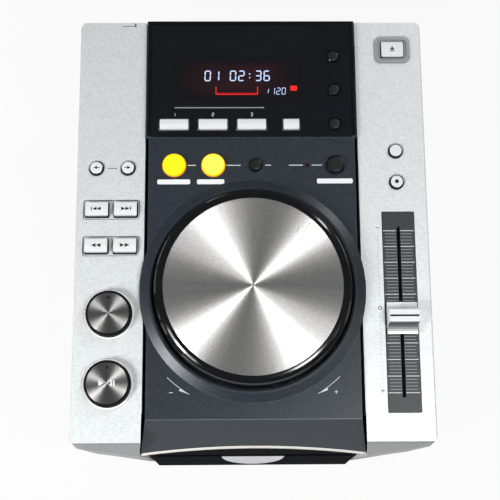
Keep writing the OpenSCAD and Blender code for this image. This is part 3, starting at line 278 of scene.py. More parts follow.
def metal_flake_group():
    """Fine bright and dark flakes of a metallic paint, with a slow drift of tone."""
    group, given, result = new_group(
        "metal_flake",
        [("Colour", "Color", (0.5, 0.5, 0.5, 1)), ("Flakes per metre", "Float", 2600.0),
         ("Contrast", "Float", 0.3), ("Drift", "Float", 0.06)],
        [("Colour", "Color"), ("Height", "Float"), ("Flake", "Float")],
    )
    place, flakes = on_object(group), given["Flakes per metre"]
    cells = add(group, "TexVoronoi", feature="F1", Vector=place, Scale=flakes)
    grain = noise(group, calculate(group, "MULTIPLY", flakes, 0.32), 2.0, place, Roughness=0.7)
    slow = noise(group, 9.0, 3.0, place)
    flake = add(group, "SeparateColor", cells.outputs["Color"]).outputs[0]
    soft = calculate(group, "MULTIPLY", calculate(group, "SUBTRACT", grain, 0.5), 1.6)
    both = calculate(group, "ADD", calculate(group, "SUBTRACT", flake, 0.5), soft)
    tone = calculate(group, "MULTIPLY", both, given["Contrast"])
    drift = calculate(group, "MULTIPLY", calculate(group, "SUBTRACT", slow, 0.5), given["Drift"])
    factor = calculate(group, "ADD", calculate(group, "ADD", tone, drift), 1.0)
    give(group, result["Colour"],
         add(group, "VectorMath", given["Colour"], operation="SCALE", Scale=factor).outputs[0])
    give(group, result["Height"], both)
    give(group, result["Flake"], flake)
    return group


def edge_wear_group():
    """A mask of the outer edges, broken up by noise."""
    group, given, result = new_group(
        "edge_wear", [("Radius", "Float", 0.0006), ("Amount", "Float", 1.0)], [("Mask", "Float")])
    bevel = add(group, "Bevel", samples=4, Radius=given["Radius"])
    normal = add(group, "NewGeometry").outputs["Normal"]
    along = add(group, "VectorMath", bevel.outputs[0], normal, operation="DOT_PRODUCT").outputs["Value"]
    away = spread(group, calculate(group, "SUBTRACT", 1.0, along), 0.02, 0.22)
    broken = calculate(group, "MULTIPLY", away, spread(group, noise(group, 420.0, 3.0), 0.35, 0.62, 0.25, 1.0))
    give(group, result["Mask"], calculate(group, "MULTIPLY", broken, given["Amount"], clamp=True))
    return group


def dust_group():
    """A mask of fine specks and a thin film of dust."""
    group, given, result = new_group(
        "dust", [("Specks per metre", "Float", 900.0), ("Amount", "Float", 0.5)], [("Mask", "Float")])
    place = on_object(group)
    cells = add(group, "TexVoronoi", feature="F1", Vector=place, Scale=given["Specks per metre"])
    near = spread(group, cells.outputs["Distance"], 0.1, 0.28, 1.0, 0.0)
    chance = add(group, "SeparateColor", cells.outputs["Color"]).outputs[1]
    specks = calculate(group, "MULTIPLY", near, calculate(group, "GREATER_THAN", chance, 0.86))
    film = calculate(group, "MULTIPLY", spread(group, noise(group, 60.0, 4.0, place), 0.45, 0.75), 0.25)
    both = calculate(group, "MAXIMUM", specks, film)
    give(group, result["Mask"], calculate(group, "MULTIPLY", both, given["Amount"], clamp=True))
    return group


def turned_metal_group():
    """Fine rings of a turned face round a centre, with a tone that changes round the turn."""
    group, given, result = new_group(
        "turned_metal",
        [("Centre", "Vector", (0, 0, 0)), ("Rings per metre", "Float", 4200.0), ("Tone", "Float", 0.1)],
        [("Tone", "Float"), ("Height", "Float"), ("Radius", "Float")],
    )
    away = add(group, "VectorMath", on_object(group), given["Centre"], operation="SUBTRACT")
    level = add(group, "VectorRotate", rotation_type="X_AXIS", Angle=-DECK_TILT, Vector=away.outputs[0])
    x, y, _ = add(group, "SeparateXYZ", level.outputs[0]).outputs
    flat = add(group, "CombineXYZ", x, y)
    radius = add(group, "VectorMath", flat.outputs[0], operation="LENGTH").outputs["Value"]
    angle = calculate(group, "ARCTAN2", y, x)
    sine, cosine = calculate(group, "SINE", angle), calculate(group, "COSINE", angle)
    # Noise sampled on radius and on the turn's sine and cosine, so that it has no seam
    spot = add(group, "CombineXYZ", calculate(group, "MULTIPLY", radius, given["Rings per metre"]),
               calculate(group, "MULTIPLY", sine, 1.2), calculate(group, "MULTIPLY", cosine, 1.2))
    rings = noise(group, 1.0, 3.0, spot.outputs[0], Roughness=0.8)
    around = add(group, "CombineXYZ", sine, cosine, calculate(group, "MULTIPLY", radius, 1.5))
    turn = noise(group, 7.0, 5.0, around.outputs[0], Roughness=0.65)
    drift = calculate(group, "MULTIPLY", calculate(group, "SUBTRACT", turn, 0.5), 1.5)
    tone = calculate(group, "ADD", drift, calculate(group, "SUBTRACT", rings, 0.5))
    give(group, result["Tone"],
         calculate(group, "ADD", calculate(group, "MULTIPLY", tone, given["Tone"]), 1.0))
    give(group, result["Height"], rings)
    give(group, result["Radius"], radius)
    return group


GROUP_MAKERS = {
    "metal_flake": metal_flake_group,
    "edge_wear": edge_wear_group,
    "dust": dust_group,
    "turned_metal": turned_metal_group,
}


def placed(tree, name, **values):
    """Puts a shared group into a material with this material's values, and returns what it gives."""
    node = tree.nodes.new("ShaderNodeGroup")
    node.node_tree = bpy.data.node_groups.get(name) or GROUP_MAKERS[name]()
    for key, value in values.items():
        give(tree, node.inputs[key.replace("_", " ")], value)
    return node.outputs


def new_finish(name, **sockets):
    """A material with one Principled shader whose plain sockets are set directly."""
    material = bpy.data.materials.new(name)
    material.use_nodes = True
    tree = material.node_tree
    shader = tree.nodes["Principled BSDF"]
    for key, value in sockets.items():
        give(tree, shader.inputs[key.replace("_", " ")], value)
    return material, tree, shader.inputs


def worn(tree, base, edge, amount):
    """A colour with another one on its outer edges: wear, and on the slate deck also a painted sheen."""
    return mixed(tree, placed(tree, "edge_wear", Amount=amount)["Mask"], base, edge)


def bump(tree, shader, height, strength, depth):
    give(tree, shader["Normal"], add(tree, "Bump", Strength=strength, Distance=depth, Height=height).outputs[0])


def stretched(tree, *scale):
    """Noise drawn out along one axis, as brushing leaves it."""
    place = add(tree, "Mapping", Vector=on_object(tree), Scale=scale).outputs[0]
    return noise(tree, 1.0, 3.0, place)


# ---------- Finishes ----------


def flaked(name, colour, flakes, contrast, edge, wear, roughness, **sockets):
    """A metallic paint: flakes, a slow drift, a paler colour on the edges (wear, and on the slate deck also a
    painted sheen). The caller links the colour and roughness it returns.
    """
    material, tree, shader = new_finish(name, **sockets)
    flake = placed(tree, "metal_flake", Colour=tint(colour), Flakes_per_metre=flakes, Contrast=contrast)
    paint = worn(tree, flake["Colour"], linear(*edge), wear)
    rough = spread(tree, flake["Flake"], 0.0, 1.0, roughness - 0.05, roughness + 0.08)
    bump(tree, shader, flake["Height"], 0.12, 0.00005)
    return material, tree, shader, paint, rough


def silver_paint(name):
    """The wings' metallic paint, with painted shade on the bevels that face the front."""
    material, tree, shader, paint, rough = flaked(
        name, "silver", 1500.0, 0.13, (236, 238, 238), 0.35, 0.46, Metallic=0.35)
    # Painted shade: faces that look to the front are mixed towards dark grey, as if they lay in shade.
    front = spread(tree, facing(tree, 1), -0.75, -0.45, 0.7, 0.0)
    give(tree, shader["Base Color"], mixed(tree, front, paint, linear(98, 101, 102)))
    give(tree, shader["Roughness"], rough)
    return material


def slate_moulding(name):
    """The deck's speckled moulding, black and glossy where it frames the display, its pale edges partly wear and
    partly a painted sheen.
    """
    # Painted sheen: the pale blue-grey edge colour, laid on heavily, stands in for light on the deck's edges as
    # well as wear.
    material, tree, shader, paint, rough = flaked(
        name, "slate", 1800.0, 0.35, (108, 119, 130), 0.8, 0.34, Metallic=0.15)
    rearward = Vector((0, math.cos(DECK_TILT), math.sin(DECK_TILT)))
    along = add(tree, "VectorMath", on_object(tree), rearward, operation="DOT_PRODUCT").outputs["Value"]
    head = calculate(tree, "GREATER_THAN", along, DECK_MIDDLE.dot(rearward) + HEAD_FRONT * MM)
    give(tree, shader["Base Color"], mixed(tree, head, paint, linear(15, 16, 19)))
    give(tree, shader["Roughness"], calculate(tree, "SUBTRACT", rough, calculate(tree, "MULTIPLY", head, 0.2)))
    return material


def gloss_black(name):
    """Polished black with a little dust on it."""
    material, tree, shader = new_finish(name, Coat_Weight=0.25, Coat_Roughness=0.08)
    dust = placed(tree, "dust", Specks_per_metre=700.0, Amount=0.05)["Mask"]
    base = mixed(tree, dust, linear(12, 13, 15), linear(120, 120, 118))
    give(tree, shader["Base Color"], worn(tree, base, linear(70, 72, 76), 0.25))
    give(tree, shader["Roughness"], spread(tree, dust, 0.0, 0.1, 0.12, 0.3))
    return material


def grained(name, pores, low, high, edge, wear, strength, depth, **sockets):
    """A dull black with a fine grain in its colour and its surface."""
    material, tree, shader = new_finish(name, **sockets)
    grain = noise(tree, pores, 2.0)
    base = mixed(tree, grain, linear(*low), linear(*high))
    give(tree, shader["Base Color"], worn(tree, base, linear(*edge), wear))
    bump(tree, shader, grain, strength, depth)
    return material


def window_lens(name):
    """The dark window over the display."""
    material, tree, shader = new_finish(name, Coat_Weight=0.5, Coat_Roughness=0.03)
    slow = noise(tree, 22.0, 2.0)
    dust = placed(tree, "dust", Specks_per_metre=520.0, Amount=0.03)["Mask"]
    glass = tint("window")
    base = mixed(tree, spread(tree, slow, 0.35, 0.65), glass, toned(glass, 0.72))
    give(tree, shader["Base Color"], mixed(tree, dust, base, linear(120, 122, 126)))
    give(tree, shader["Roughness"], spread(tree, slow, 0.3, 0.7, 0.05, 0.1))
    return material


def turned(name, colour, roughness, centre, rings, tone, anisotropic, pitting):
    """A turned metal face: fine rings, a tone that drifts round it, and fine pits."""
    material, tree, shader = new_finish(name, Metallic=1.0, Anisotropic=anisotropic)
    centre, place = deck_point(*centre), on_object(tree)
    lathe = placed(tree, "turned_metal", Centre=centre, Rings_per_metre=rings, Tone=tone)
    pits = spread(tree, noise(tree, 1300.0, 1.0, place), 0.3, 0.7, 1 - pitting, 1 + pitting)
    tone = calculate(tree, "MULTIPLY", lathe["Tone"], pits)
    give(tree, shader["Base Color"],
         add(tree, "VectorMath", tint(colour), operation="SCALE", Scale=tone).outputs[0])
    # The face is rough across its grooves, along the way out from its centre
    across = add(tree, "VectorMath", place, centre, operation="SUBTRACT")
    world = add(tree, "VectorTransform", across.outputs[0], vector_type="VECTOR", convert_from="OBJECT",
                convert_to="WORLD")
    give(tree, shader["Tangent"], add(tree, "VectorMath", world.outputs[0], operation="NORMALIZE").outputs[0])
    give(tree, shader["Roughness"], spread(tree, lathe["Height"], 0.2, 0.8, roughness - 0.04, roughness + 0.05))
    bump(tree, shader, lathe["Height"], 0.05, 0.00002)
    return material


def plain_metal(name, colour, roughness):
    """A brushed metal."""
    material, tree, shader = new_finish(name, Metallic=1.0)
    colour = linear(*colour)
    brushed = stretched(tree, 60.0, 2400.0, 2400.0)
    base = mixed(tree, brushed, toned(colour, 0.82), colour)
    give(tree, shader["Base Color"], worn(tree, base, toned(colour, 1.15), 0.6))
    give(tree, shader["Roughness"], spread(tree, brushed, 0.3, 0.7, roughness - 0.05, roughness + 0.07))
    bump(tree, shader, brushed, 0.05, 0.00003)
    return material


def moulded(name, colour, roughness, grain=1800.0, depth=0.00004, strength=0.1, wear=0.3, vary=0.06, **sockets):
    """A moulded plastic with a fine grain."""
    material, tree, shader = new_finish(name, **sockets)
    colour, place = tint(colour), on_object(tree)
    slow = noise(tree, 70.0, 3.0, place)
    base = mixed(tree, slow, toned(colour, 1 - vary), toned(colour, 1 + vary))
    edge = [min(1.0, part * 1.25 + 0.03) for part in colour]
    give(tree, shader["Base Color"], worn(tree, base, edge, wear))
    give(tree, shader["Roughness"], spread(tree, slow, 0.3, 0.7, roughness - 0.04, roughness + 0.06))
    bump(tree, shader, noise(tree, grain, 2.0, place), strength, depth)
    return material


def sided(name, top, side, **sockets):
    """A satin finish with painted shade: its upright sides are mixed towards a darker colour than the faces that
    look up.
    """
    material, tree, shader = new_finish(name, **sockets)
    flake = placed(tree, "metal_flake", Colour=linear(*top), Flakes_per_metre=1500.0, Contrast=0.05)
    # Painted shade: the side colour stands in for the shade that falls on upright faces.
    up = spread(tree, facing(tree, 2), 0.35, 0.8)
    give(tree, shader["Base Color"], mixed(tree, up, linear(*side), flake["Colour"]))
    bump(tree, shader, flake["Height"], 0.08, 0.00004)
    return material


def knob_silver(name):
    """The slider's knob: pale satin, with painted shade in the scoop that faces the front."""
    material, tree, shader = new_finish(name, Metallic=0.2, Roughness=0.3)
    flake = placed(tree, "metal_flake", Colour=linear(244, 246, 247), Flakes_per_metre=1700.0, Contrast=0.04)
    # Painted shade: faces that look to the front are mixed towards dark grey.
    scoop = spread(tree, facing(tree, 1), -0.92, -0.25, 0.94, 0.0)
    pale = worn(tree, flake["Colour"], linear(250, 251, 252), 0.3)
    give(tree, shader["Base Color"], mixed(tree, scoop, pale, linear(58, 61, 64)))
    bump(tree, shader, flake["Height"], 0.06, 0.00003)
    return material


def inlay(name):
    """The slider's dark plate, brushed across."""
    material, tree, shader = new_finish(name, Metallic=0.25, Roughness=0.42)
    brushed, plate = stretched(tree, 3200.0, 50.0, 3200.0), tint("inlay")
    give(tree, shader["Base Color"], mixed(tree, brushed, toned(plate, 0.85), toned(plate, 1.15)))
    bump(tree, shader, brushed, 0.05, 0.00003)
    return material


def glowing(name, colour, strength):
    """A light of the display, uneven as real ones are."""
    material, tree, shader = new_finish(name, Roughness=0.3, Emission_Strength=strength)
    colour = tint(colour)
    lit = mixed(tree, spread(tree, noise(tree, 260.0, 2.0), 0.3, 0.7), toned(colour, 0.9), colour)
    for label in ("Emission Color", "Base Color"):
        give(tree, shader[label], lit)
    return material


def lit_key(name, u, colour):
    """A translucent key lit from below: bright in the middle, amber at its edge."""
    material, tree, shader = new_finish(name, Roughness=0.28, Emission_Strength=0.9)
    centre = deck_point(u, LOOP_V, LOOP_KEY_TOP)
    lathe = placed(tree, "turned_metal", Centre=centre, Rings_per_metre=100.0, Tone=0.0)
    rim = spread(tree, lathe["Radius"], (LOOP_KEY_RADIUS - 1.3) * MM, (LOOP_KEY_RADIUS - 0.1) * MM)
    warm = mixed(tree, rim, tint(colour), linear(222, 150, 8))
    for label in ("Emission Color", "Base Color"):
        give(tree, shader[label], warm)
    return material


def display_glow(name):
    """The unlit display seen through the window: a dim red field that fades out before its edges."""
    material, tree, shader = new_finish(name, Roughness=0.07, Emission_Strength=1.0, Base_Color=linear(12, 10, 14),
                                        Coat_Weight=0.5, Coat_Roughness=0.03)
    half, place = [side / 2 * MM for side in DISPLAY_SIZE], on_object(tree)
    fitted = add(tree, "Mapping", vector_type="TEXTURE", Vector=place,
                 Location=deck_point(*DISPLAY_MIDDLE, DECK_TOP), Scale=(*half, 1.0))
    parts = add(tree, "SeparateXYZ", fitted.outputs[0]).outputs
    inside = [spread(tree, calculate(tree, "ABSOLUTE", parts[i]), 0.5, 0.98, 1.0, 0.0) for i in (0, 1)]
    lit = calculate(tree, "MULTIPLY", *inside)
    cloud = spread(tree, noise(tree, 45.0, 2.0, place), 0.35, 0.65)
    field = mixed(tree, cloud, linear(20, 6, 10), linear(36, 10, 15))
    give(tree, shader["Emission Color"], mixed(tree, lit, (0.0, 0.0, 0.0), field))
    return material


# How each finish is made: its maker, for most of them a colour and a roughness, then the values that differ
FINISH_RECIPES = {
    "silver_paint": (silver_paint, {}),
    "slate_moulding": (slate_moulding, {}),
    "gloss_black": (gloss_black, {}),
    "window_lens": (window_lens, {}),
    "knob_silver": (knob_silver, {}),
    "inlay": (inlay, {}),
    "display_glow": (display_glow, {}),
    "bezel_black": (grained, dict(
        pores=1400.0, low=(9, 10, 12), high=(14, 15, 18), edge=(52, 54, 60), wear=0.3, strength=0.1,
        depth=0.00005, Roughness=0.7, Specular_IOR_Level=0.02)),
    "satin_black": (grained, dict(
        pores=2200.0, low=(22, 23, 25), high=(32, 33, 35), edge=(74, 76, 80), wear=0.5, strength=0.15,
        depth=0.00006, Roughness=0.42)),
    "spun_plate": (turned, "plate", 0.42, dict(
        centre=(0, JOG_V, PLATE_TOP), rings=5200.0, tone=0.2, anisotropic=0.94, pitting=0.12)),
    "cue_face": (turned, "transport", 0.38, dict(
        centre=(*CUE, TRANSPORT_TOP), rings=9000.0, tone=0.3, anisotropic=0.92, pitting=0.1)),
    "play_face": (turned, "transport", 0.38, dict(
        centre=(*PLAY, TRANSPORT_TOP), rings=9000.0, tone=0.3, anisotropic=0.92, pitting=0.1)),
    "steel": (plain_metal, (176, 178, 180), 0.34, {}),
    "scoop_chrome": (plain_metal, (214, 214, 216), 0.2, {}),
    "plated_jack": (plain_metal, (196, 194, 186), 0.24, {}),
    # These two finishes carry painted shade on the upright sides of the keys and the eject bezel.
    "silver_key": (sided, dict(top=(240, 243, 243), side=(78, 82, 86), Metallic=0.12, Roughness=0.32)),
    "bezel_silver": (sided, dict(top=(176, 180, 181), side=(62, 65, 69), Metallic=0.4, Roughness=0.34)),
    "lit_in": (lit_key, dict(u=LOOP_IN_U, colour="yellow")),
    "lit_out": (lit_key, dict(u=LOOP_OUT_U, colour=(255, 246, 74))),
    "digit_light": (glowing, dict(colour="digits", strength=0.66)),
    "red_light": (glowing, dict(colour="red", strength=0.66)),
    "white_key": (moulded, "white", 0.3, dict(wear=0.15, vary=0.02)),
    "face_black": (moulded, (27, 28, 30), 0.34, dict(wear=0.2, vary=0.08)),
    # Black of the large buttons' bodies and the knob's index, and painted shade in the gaps round the keys.
    "gap_black": (moulded, (17, 18, 20), 0.7, dict(wear=0.0, vary=0.1, Specular_IOR_Level=0.12)),
    # Painted shade along the edges of the keys' pockets.
    "edge_grey": (moulded, (84, 88, 90), 0.6, dict(wear=0.0, vary=0.1)),
    "black_metal": (moulded, (30, 31, 33), 0.5, dict(grain=1300.0, strength=0.3, depth=0.0001)),
    "rubber": (moulded, (24, 24, 25), 0.75, dict(grain=900.0, strength=0.4, depth=0.0001, wear=0.1)),
    "light_guide": (moulded, (246, 247, 245), 0.25, dict(
        wear=0.1, vary=0.02, Coat_Weight=0.3, Emission_Color=(1, 1, 1), Emission_Strength=0.12)),
    "dark_print": (moulded, "print_dark", 0.6, dict(wear=0.0, vary=0.1)),
    "light_print": (moulded, "print_light", 0.55, dict(wear=0.0)),
    "dim_print": (moulded, (142, 148, 150), 0.55, dict(wear=0.0)),
    "white_print": (moulded, (240, 243, 246), 0.5, dict(wear=0.0, vary=0.03)),
    "black_print": (moulded, (14, 14, 15), 0.5, dict(wear=0.0, vary=0.1)),
    # Pale line on the nose crease: wear and a painted highlight.
    "worn_line": (moulded, (128, 136, 143), 0.4, dict(grain=600.0, wear=0.0, vary=0.2, Metallic=0.3)),
    # Cream of the nose's lip: a painted highlight of light thrown up onto its lower bevel.
    "lip_edge": (moulded, (224, 222, 214), 0.42, dict(grain=700.0, vary=0.12)),
    "scratch": (moulded, (92, 90, 88), 0.5, dict(wear=0.0, vary=0.2, Metallic=0.5)),
    "board_lacquer": (moulded, (34, 92, 52), 0.35, dict(grain=500.0, wear=0.2, vary=0.2)),
    "supply_mix": (moulded, (150, 120, 64), 0.5, dict(grain=400.0, vary=0.25)),
    "tinted_tube": (moulded, (60, 20, 28), 0.1, dict(wear=0.1, Coat_Weight=0.5)),
    "lamp_lens": (moulded, (40, 22, 22), 0.15, dict(wear=0.1, Coat_Weight=0.6)),
    "jack_red": (moulded, (190, 28, 30), 0.35, {}),
    "jack_white": (moulded, (226, 226, 222), 0.35, {}),
    "jack_orange": (moulded, (222, 112, 24), 0.35, {}),
}

NODE_FINISHES = {
    "silver_paint": ["top_cover"],
    "slate_moulding": ["centre_panel"],
    "window_lens": ["display_window"],
    "bezel_black": ["front_bezel"],
    "gloss_black": ["jog_dial", "reloop_button", "beat_loop_button", "text_mode_button", "time_mode_button",
                    "auto_cue_button"],
    "scoop_chrome": ["finger_scoop"],
    "black_metal": ["base_pan"],
    "rubber": ["rubber_feet", "drive_dampers", "loading_roller"],
    "steel": ["case_screws", "fader_body", "fader_lever", "jog_spindle", "jog_bearing", "drive_chassis",
              "drive_motors", "guide_rods", "clamp_arm", "lead_screw", "roller_bracket"],
    "satin_black": ["jack_panel", "control_jack", "mains_inlet", "power_button", "turntable", "disc_clamper",
                    "pickup_sled"],
    "gap_black": ["cue_button", "play_button"],
    "plated_jack": ["rca_jacks"],
    "board_lacquer": ["circuit_boards"],
    "supply_mix": ["power_supply"],
    "tinted_tube": ["display_tube"],
    "inlay": ["tempo_plate"],
    "white_key": ["tempo_range_button", "master_tempo_button", "folder_back_button", "folder_next_button",
                  "effect_one_button", "effect_two_button", "effect_three_button", "hold_button"],
    "knob_silver": ["tempo_knob"],
    "bezel_silver": ["eject_bezel"],
    "silver_key": ["track_back_button", "track_next_button", "search_back_button", "search_forward_button",
                   "eject_button"],
    "light_guide": ["lamp_rings"],
    "lamp_lens": ["loop_lamp"],
    "spun_plate": ["jog_plate"],
    "lit_in": ["loop_in_button"],
    "lit_out": ["loop_out_button"],
}

FINISHES = {}


def finish(name):
    """The named finish, made once."""
    if name not in FINISHES:
        maker, *first, values = FINISH_RECIPES[name]
        FINISHES[name] = maker(name, *first, **values)
    return FINISHES[name]


# ---------- Mesh building ----------


def new_piece(name, mesh, body, finish_name=None):
    """Links a mesh as a piece that rides on a body."""
    piece = bpy.data.objects.new(name, mesh)
    bpy.context.scene.collection.objects.link(piece)
    if finish_name:
        mesh.materials.append(finish(finish_name))
    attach(piece, body)
    return piece


def built_piece(name, build, finish_name, body):
    """Makes a piece of a finished bmesh."""
    mesh = bpy.data.meshes.new(name)
    build.to_mesh(mesh)
    build.free()
    return new_piece(name, mesh, body, finish_name)


def flat_piece(name, outlines, w, finish_name, body, thick=None, matrix=None):
    """A thin raised piece from outlines given in millimetres on the deck, its underside at w."""
    thick = bpy.context.scene.player_sizes.ink if thick is None else thick * MM
    build = bmesh.new()
    for outline in outlines:
        area = sum(a[0] * b[1] - b[0] * a[1] for a, b in zip(outline, outline[1:] + outline[:1]))
        loop = outline if area > 0 else outline[::-1]
        low, high = ([build.verts.new((x * MM, y * MM, z)) for x, y in loop] for z in (w * MM, w * MM + thick))
        build.faces.new(high)
        build.faces.new(low[::-1])
        for i in range(len(loop)):
            j = (i + 1) % len(loop)
            build.faces.new((low[i], low[j], high[j], high[i]))
    build.transform(matrix or deck_matrix())
    bmesh.ops.triangulate(build, faces=build.faces[:])
    return built_piece(name, build, finish_name, body)


def lathe_piece(name, profile, matrix, finish_name, body, steps=64):
    """A closed solid of revolution from (radius, height) pairs in millimetres, about the matrix's Z."""
    build = bmesh.new()
    rings = [
        [build.verts.new((x * MM, y * MM, height * MM))
         for x, y in (round_outline(0, 0, radius, steps) if radius else [(0, 0)])]
        for radius, height in profile
    ]
    hollow = profile[0][0] != 0
    for lower, upper in zip(rings, rings[1:] + (rings[:1] if hollow else [])):
        for i in range(steps):
            j = (i + 1) % steps
            corners = [lower[i % len(lower)], lower[j % len(lower)], upper[j % len(upper)], upper[i % len(upper)]]
            corners = list(dict.fromkeys(corners))
            if len(corners) > 2:
                build.faces.new(corners)
    bmesh.ops.recalc_face_normals(build, faces=build.faces[:])
    build.transform(matrix)
    return built_piece(name, build, finish_name, body)


# ---------- Outlines on the deck ----------


def box_outline(u, v, width, height):
    a, b = width / 2, height / 2
    return [(u - a, v - b), (u + a, v - b), (u + a, v + b), (u - a, v + b)]


def polar(u, v, radius, degrees):
    return u + radius * math.cos(math.radians(degrees)), v + radius * math.sin(math.radians(degrees))


def round_outline(u, v, radius, steps=32):
    return [polar(u, v, radius, 360 * i / steps) for i in range(steps)]


def soft_box_outline(u, v, width, height, radius, steps=6):
    """A box with rounded corners."""
    return [
        polar(u + sx * (width / 2 - radius), v + sy * (height / 2 - radius), radius, start + 90 * i / steps)
        for sx, sy, start in ((1, 1, 0), (-1, 1, 90), (-1, -1, 180), (1, -1, 270)) for i in range(steps + 1)
    ]


def edge_outlines(u, v, width, height, radius, line):
    """A line of the given width inside the edge of a soft box."""
    outer = soft_box_outline(u, v, width, height, radius)
    inner = soft_box_outline(u, v, width - 2 * line, height - 2 * line, max(0.05, radius - line))
    turn = outer[1:] + outer[:1], inner[1:] + inner[:1]
    return [[a, b, d, c] for a, b, c, d in zip(outer, turn[0], inner, turn[1])]


def stroke(points, width):
    """Four-sided outlines along a line of points."""
    outlines = []
    for (x0, y0), (x1, y1) in zip(points, points[1:]):
        length = math.hypot(x1 - x0, y1 - y0) or 1.0
        nx, ny = -(y1 - y0) / length * width / 2, (x1 - x0) / length * width / 2
        outlines.append([(x0 - nx, y0 - ny), (x1 - nx, y1 - ny), (x1 + nx, y1 + ny), (x0 + nx, y0 + ny)])
    return outlines


def across_stroke(u, v, half, width):
    """A short stroke across, centred on a place."""
    return stroke([(u - half, v), (u + half, v)], width)


def ring_outlines(u, v, inner, outer, start=0.0, end=360.0, steps=64):
    turns = [start + (end - start) * i / steps for i in range(steps + 1)]
    return [
        [polar(u, v, inner, a), polar(u, v, outer, a), polar(u, v, outer, b), polar(u, v, inner, b)]
        for a, b in zip(turns, turns[1:])
    ]


def pointer(u, v, width, height, turn=1):
    """A triangle that points along +u, or along -u where turn is -1."""
    back, tip = u - turn * width / 2, u + turn * width / 2
    return [(back, v - height / 2), (tip, v), (back, v + height / 2)]


# The seven bars of a digit, and which of them each digit lights
SEGMENT_ENDS = {
    "a": ((0, 1), (1, 1)), "b": ((1, 0.5), (1, 1)), "c": ((1, 0), (1, 0.5)), "d": ((0, 0), (1, 0)),
    "e": ((0, 0), (0, 0.5)), "f": ((0, 0.5), (0, 1)), "g": ((0, 0.5), (1, 0.5)),
}
DIGIT_SEGMENTS = {
    "0": "abcdef", "1": "bc", "2": "abged", "3": "abgcd", "4": "fgbc", "5": "afgcd", "6": "afgedc",
    "7": "abc", "8": "abcdefg", "9": "abcdfg", " ": "",
}


def digit_outlines(text, u, v, width, height, pitch, thick, lean=0.0):
    """Segment digits from the lower left corner u, v."""
    outlines = []
    gap = thick * 0.35
    for index, mark in enumerate(text):
        left = u + index * pitch
        if mark == ":":
            outlines += [box_outline(left + width / 2, v + height * k, thick, thick) for k in (0.3, 0.7)]
            continue
        for bar in DIGIT_SEGMENTS[mark]:
            a, b = (Vector((x * width, y * height)) for x, y in SEGMENT_ENDS[bar])
            along = (b - a).normalized()
            outlines += stroke([(left + p.x + lean * p.y, v + p.y) for p in (a + along * gap, b - along * gap)],
                               thick)
    return outlines


def number_outlines(text, u, v, height):
    """Plain printed numerals centred on u, v."""
    width, space = height * 0.5, height * 0.35
    left = u - (len(text) * (width + space) - space) / 2
    return digit_outlines(text, left, v - height / 2, width, height, width + space, height * 0.17)


# ---------- Geometry Nodes ----------


def row_tree():
    """A row of flat bars or round dots. Ends in real, painted geometry."""
    tree = bpy.data.node_groups.get("row_of_marks")
    if tree:
        return tree
    tree = bpy.data.node_groups.new("row_of_marks", "GeometryNodeTree")
    for label, kind in (("Geometry", "Geometry"), ("Count", "Int"), ("Pitch", "Float"), ("Width", "Float"),
                        ("Thickness", "Float"), ("Height", "Float"), ("Round", "Bool"), ("Material", "Material")):
        tree.interface.new_socket(label, in_out="INPUT", socket_type="NodeSocket" + kind)
    tree.interface.new_socket("Geometry", in_out="OUTPUT", socket_type="NodeSocketGeometry")
    given = tree.nodes.new("NodeGroupInput").outputs
    step = add(tree, "CombineXYZ", Y=given["Pitch"])
    line = add(tree, "GeometryNodeMeshLine", Count=given["Count"], Offset=step.outputs[0])
    size = add(tree, "CombineXYZ", given["Width"], given["Thickness"], given["Height"])
    bar = add(tree, "GeometryNodeMeshCube", Size=size.outputs[0])
    dot = add(tree, "GeometryNodeMeshCylinder", Vertices=10, Depth=given["Height"],
              Radius=calculate(tree, "DIVIDE", given["Width"], 2.0))
    mark = add(tree, "GeometryNodeSwitch", given["Round"], bar.outputs["Mesh"], dot.outputs["Mesh"])
    row = add(tree, "GeometryNodeInstanceOnPoints", Points=line.outputs["Mesh"], Instance=mark.outputs[0])
    real = add(tree, "GeometryNodeRealizeInstances", row.outputs[0])
    painted = add(tree, "GeometryNodeSetMaterial", Geometry=real.outputs[0], Material=given["Material"])
    give(tree, tree.nodes.new("NodeGroupOutput").inputs["Geometry"], painted.outputs[0])
    return tree


def row_of_marks(name, finish_name, count, pitch, width, thickness, matrix, rounded=False):
    """Runs the row's tree on an empty mesh and keeps the result as a plain piece of the housing."""
    tree = row_tree()
    holder = bpy.data.objects.new(name + "_source", bpy.data.meshes.new(name + "_source"))
    bpy.context.scene.collection.objects.link(holder)
    modifier = holder.modifiers.new("rule", "NODES")
    modifier.node_group = tree
    sockets = {item.name: item.identifier for item in tree.interface.items_tree if item.in_out == "INPUT"}
    for label, value in (("Count", count), ("Pitch", pitch * MM), ("Width", width * MM),
                         ("Thickness", thickness * MM), ("Height", bpy.context.scene.player_sizes.ink * 2),
                         ("Round", rounded), ("Material", finish(finish_name))):
        modifier[sockets[label]] = value
    bpy.context.view_layer.update()
    mesh = bpy.data.meshes.new_from_object(holder.evaluated_get(bpy.context.evaluated_depsgraph_get()))
    holder.modifiers.clear()
    bpy.data.objects.remove(holder)
    mesh.name = name
    mesh.transform(matrix)
    return new_piece(name, mesh, "housing")


# ---------- Operators ----------


class PLAYER_OT_finish_nodes(bpy.types.Operator):
    """Give every solid of the model its finish"""

    bl_idname = "player.finish_nodes"
    bl_label = "Solids"

    def execute(self, context):
        left = set(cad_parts)
        for name, nodes in NODE_FINISHES.items():
            for node in nodes:
                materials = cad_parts[node].data.materials
                materials.clear()
                materials.append(finish(name))
                left.discard(node)
        if left:
            raise RuntimeError("no finish for " + ", ".join(sorted(left)))
        return {"FINISHED"}


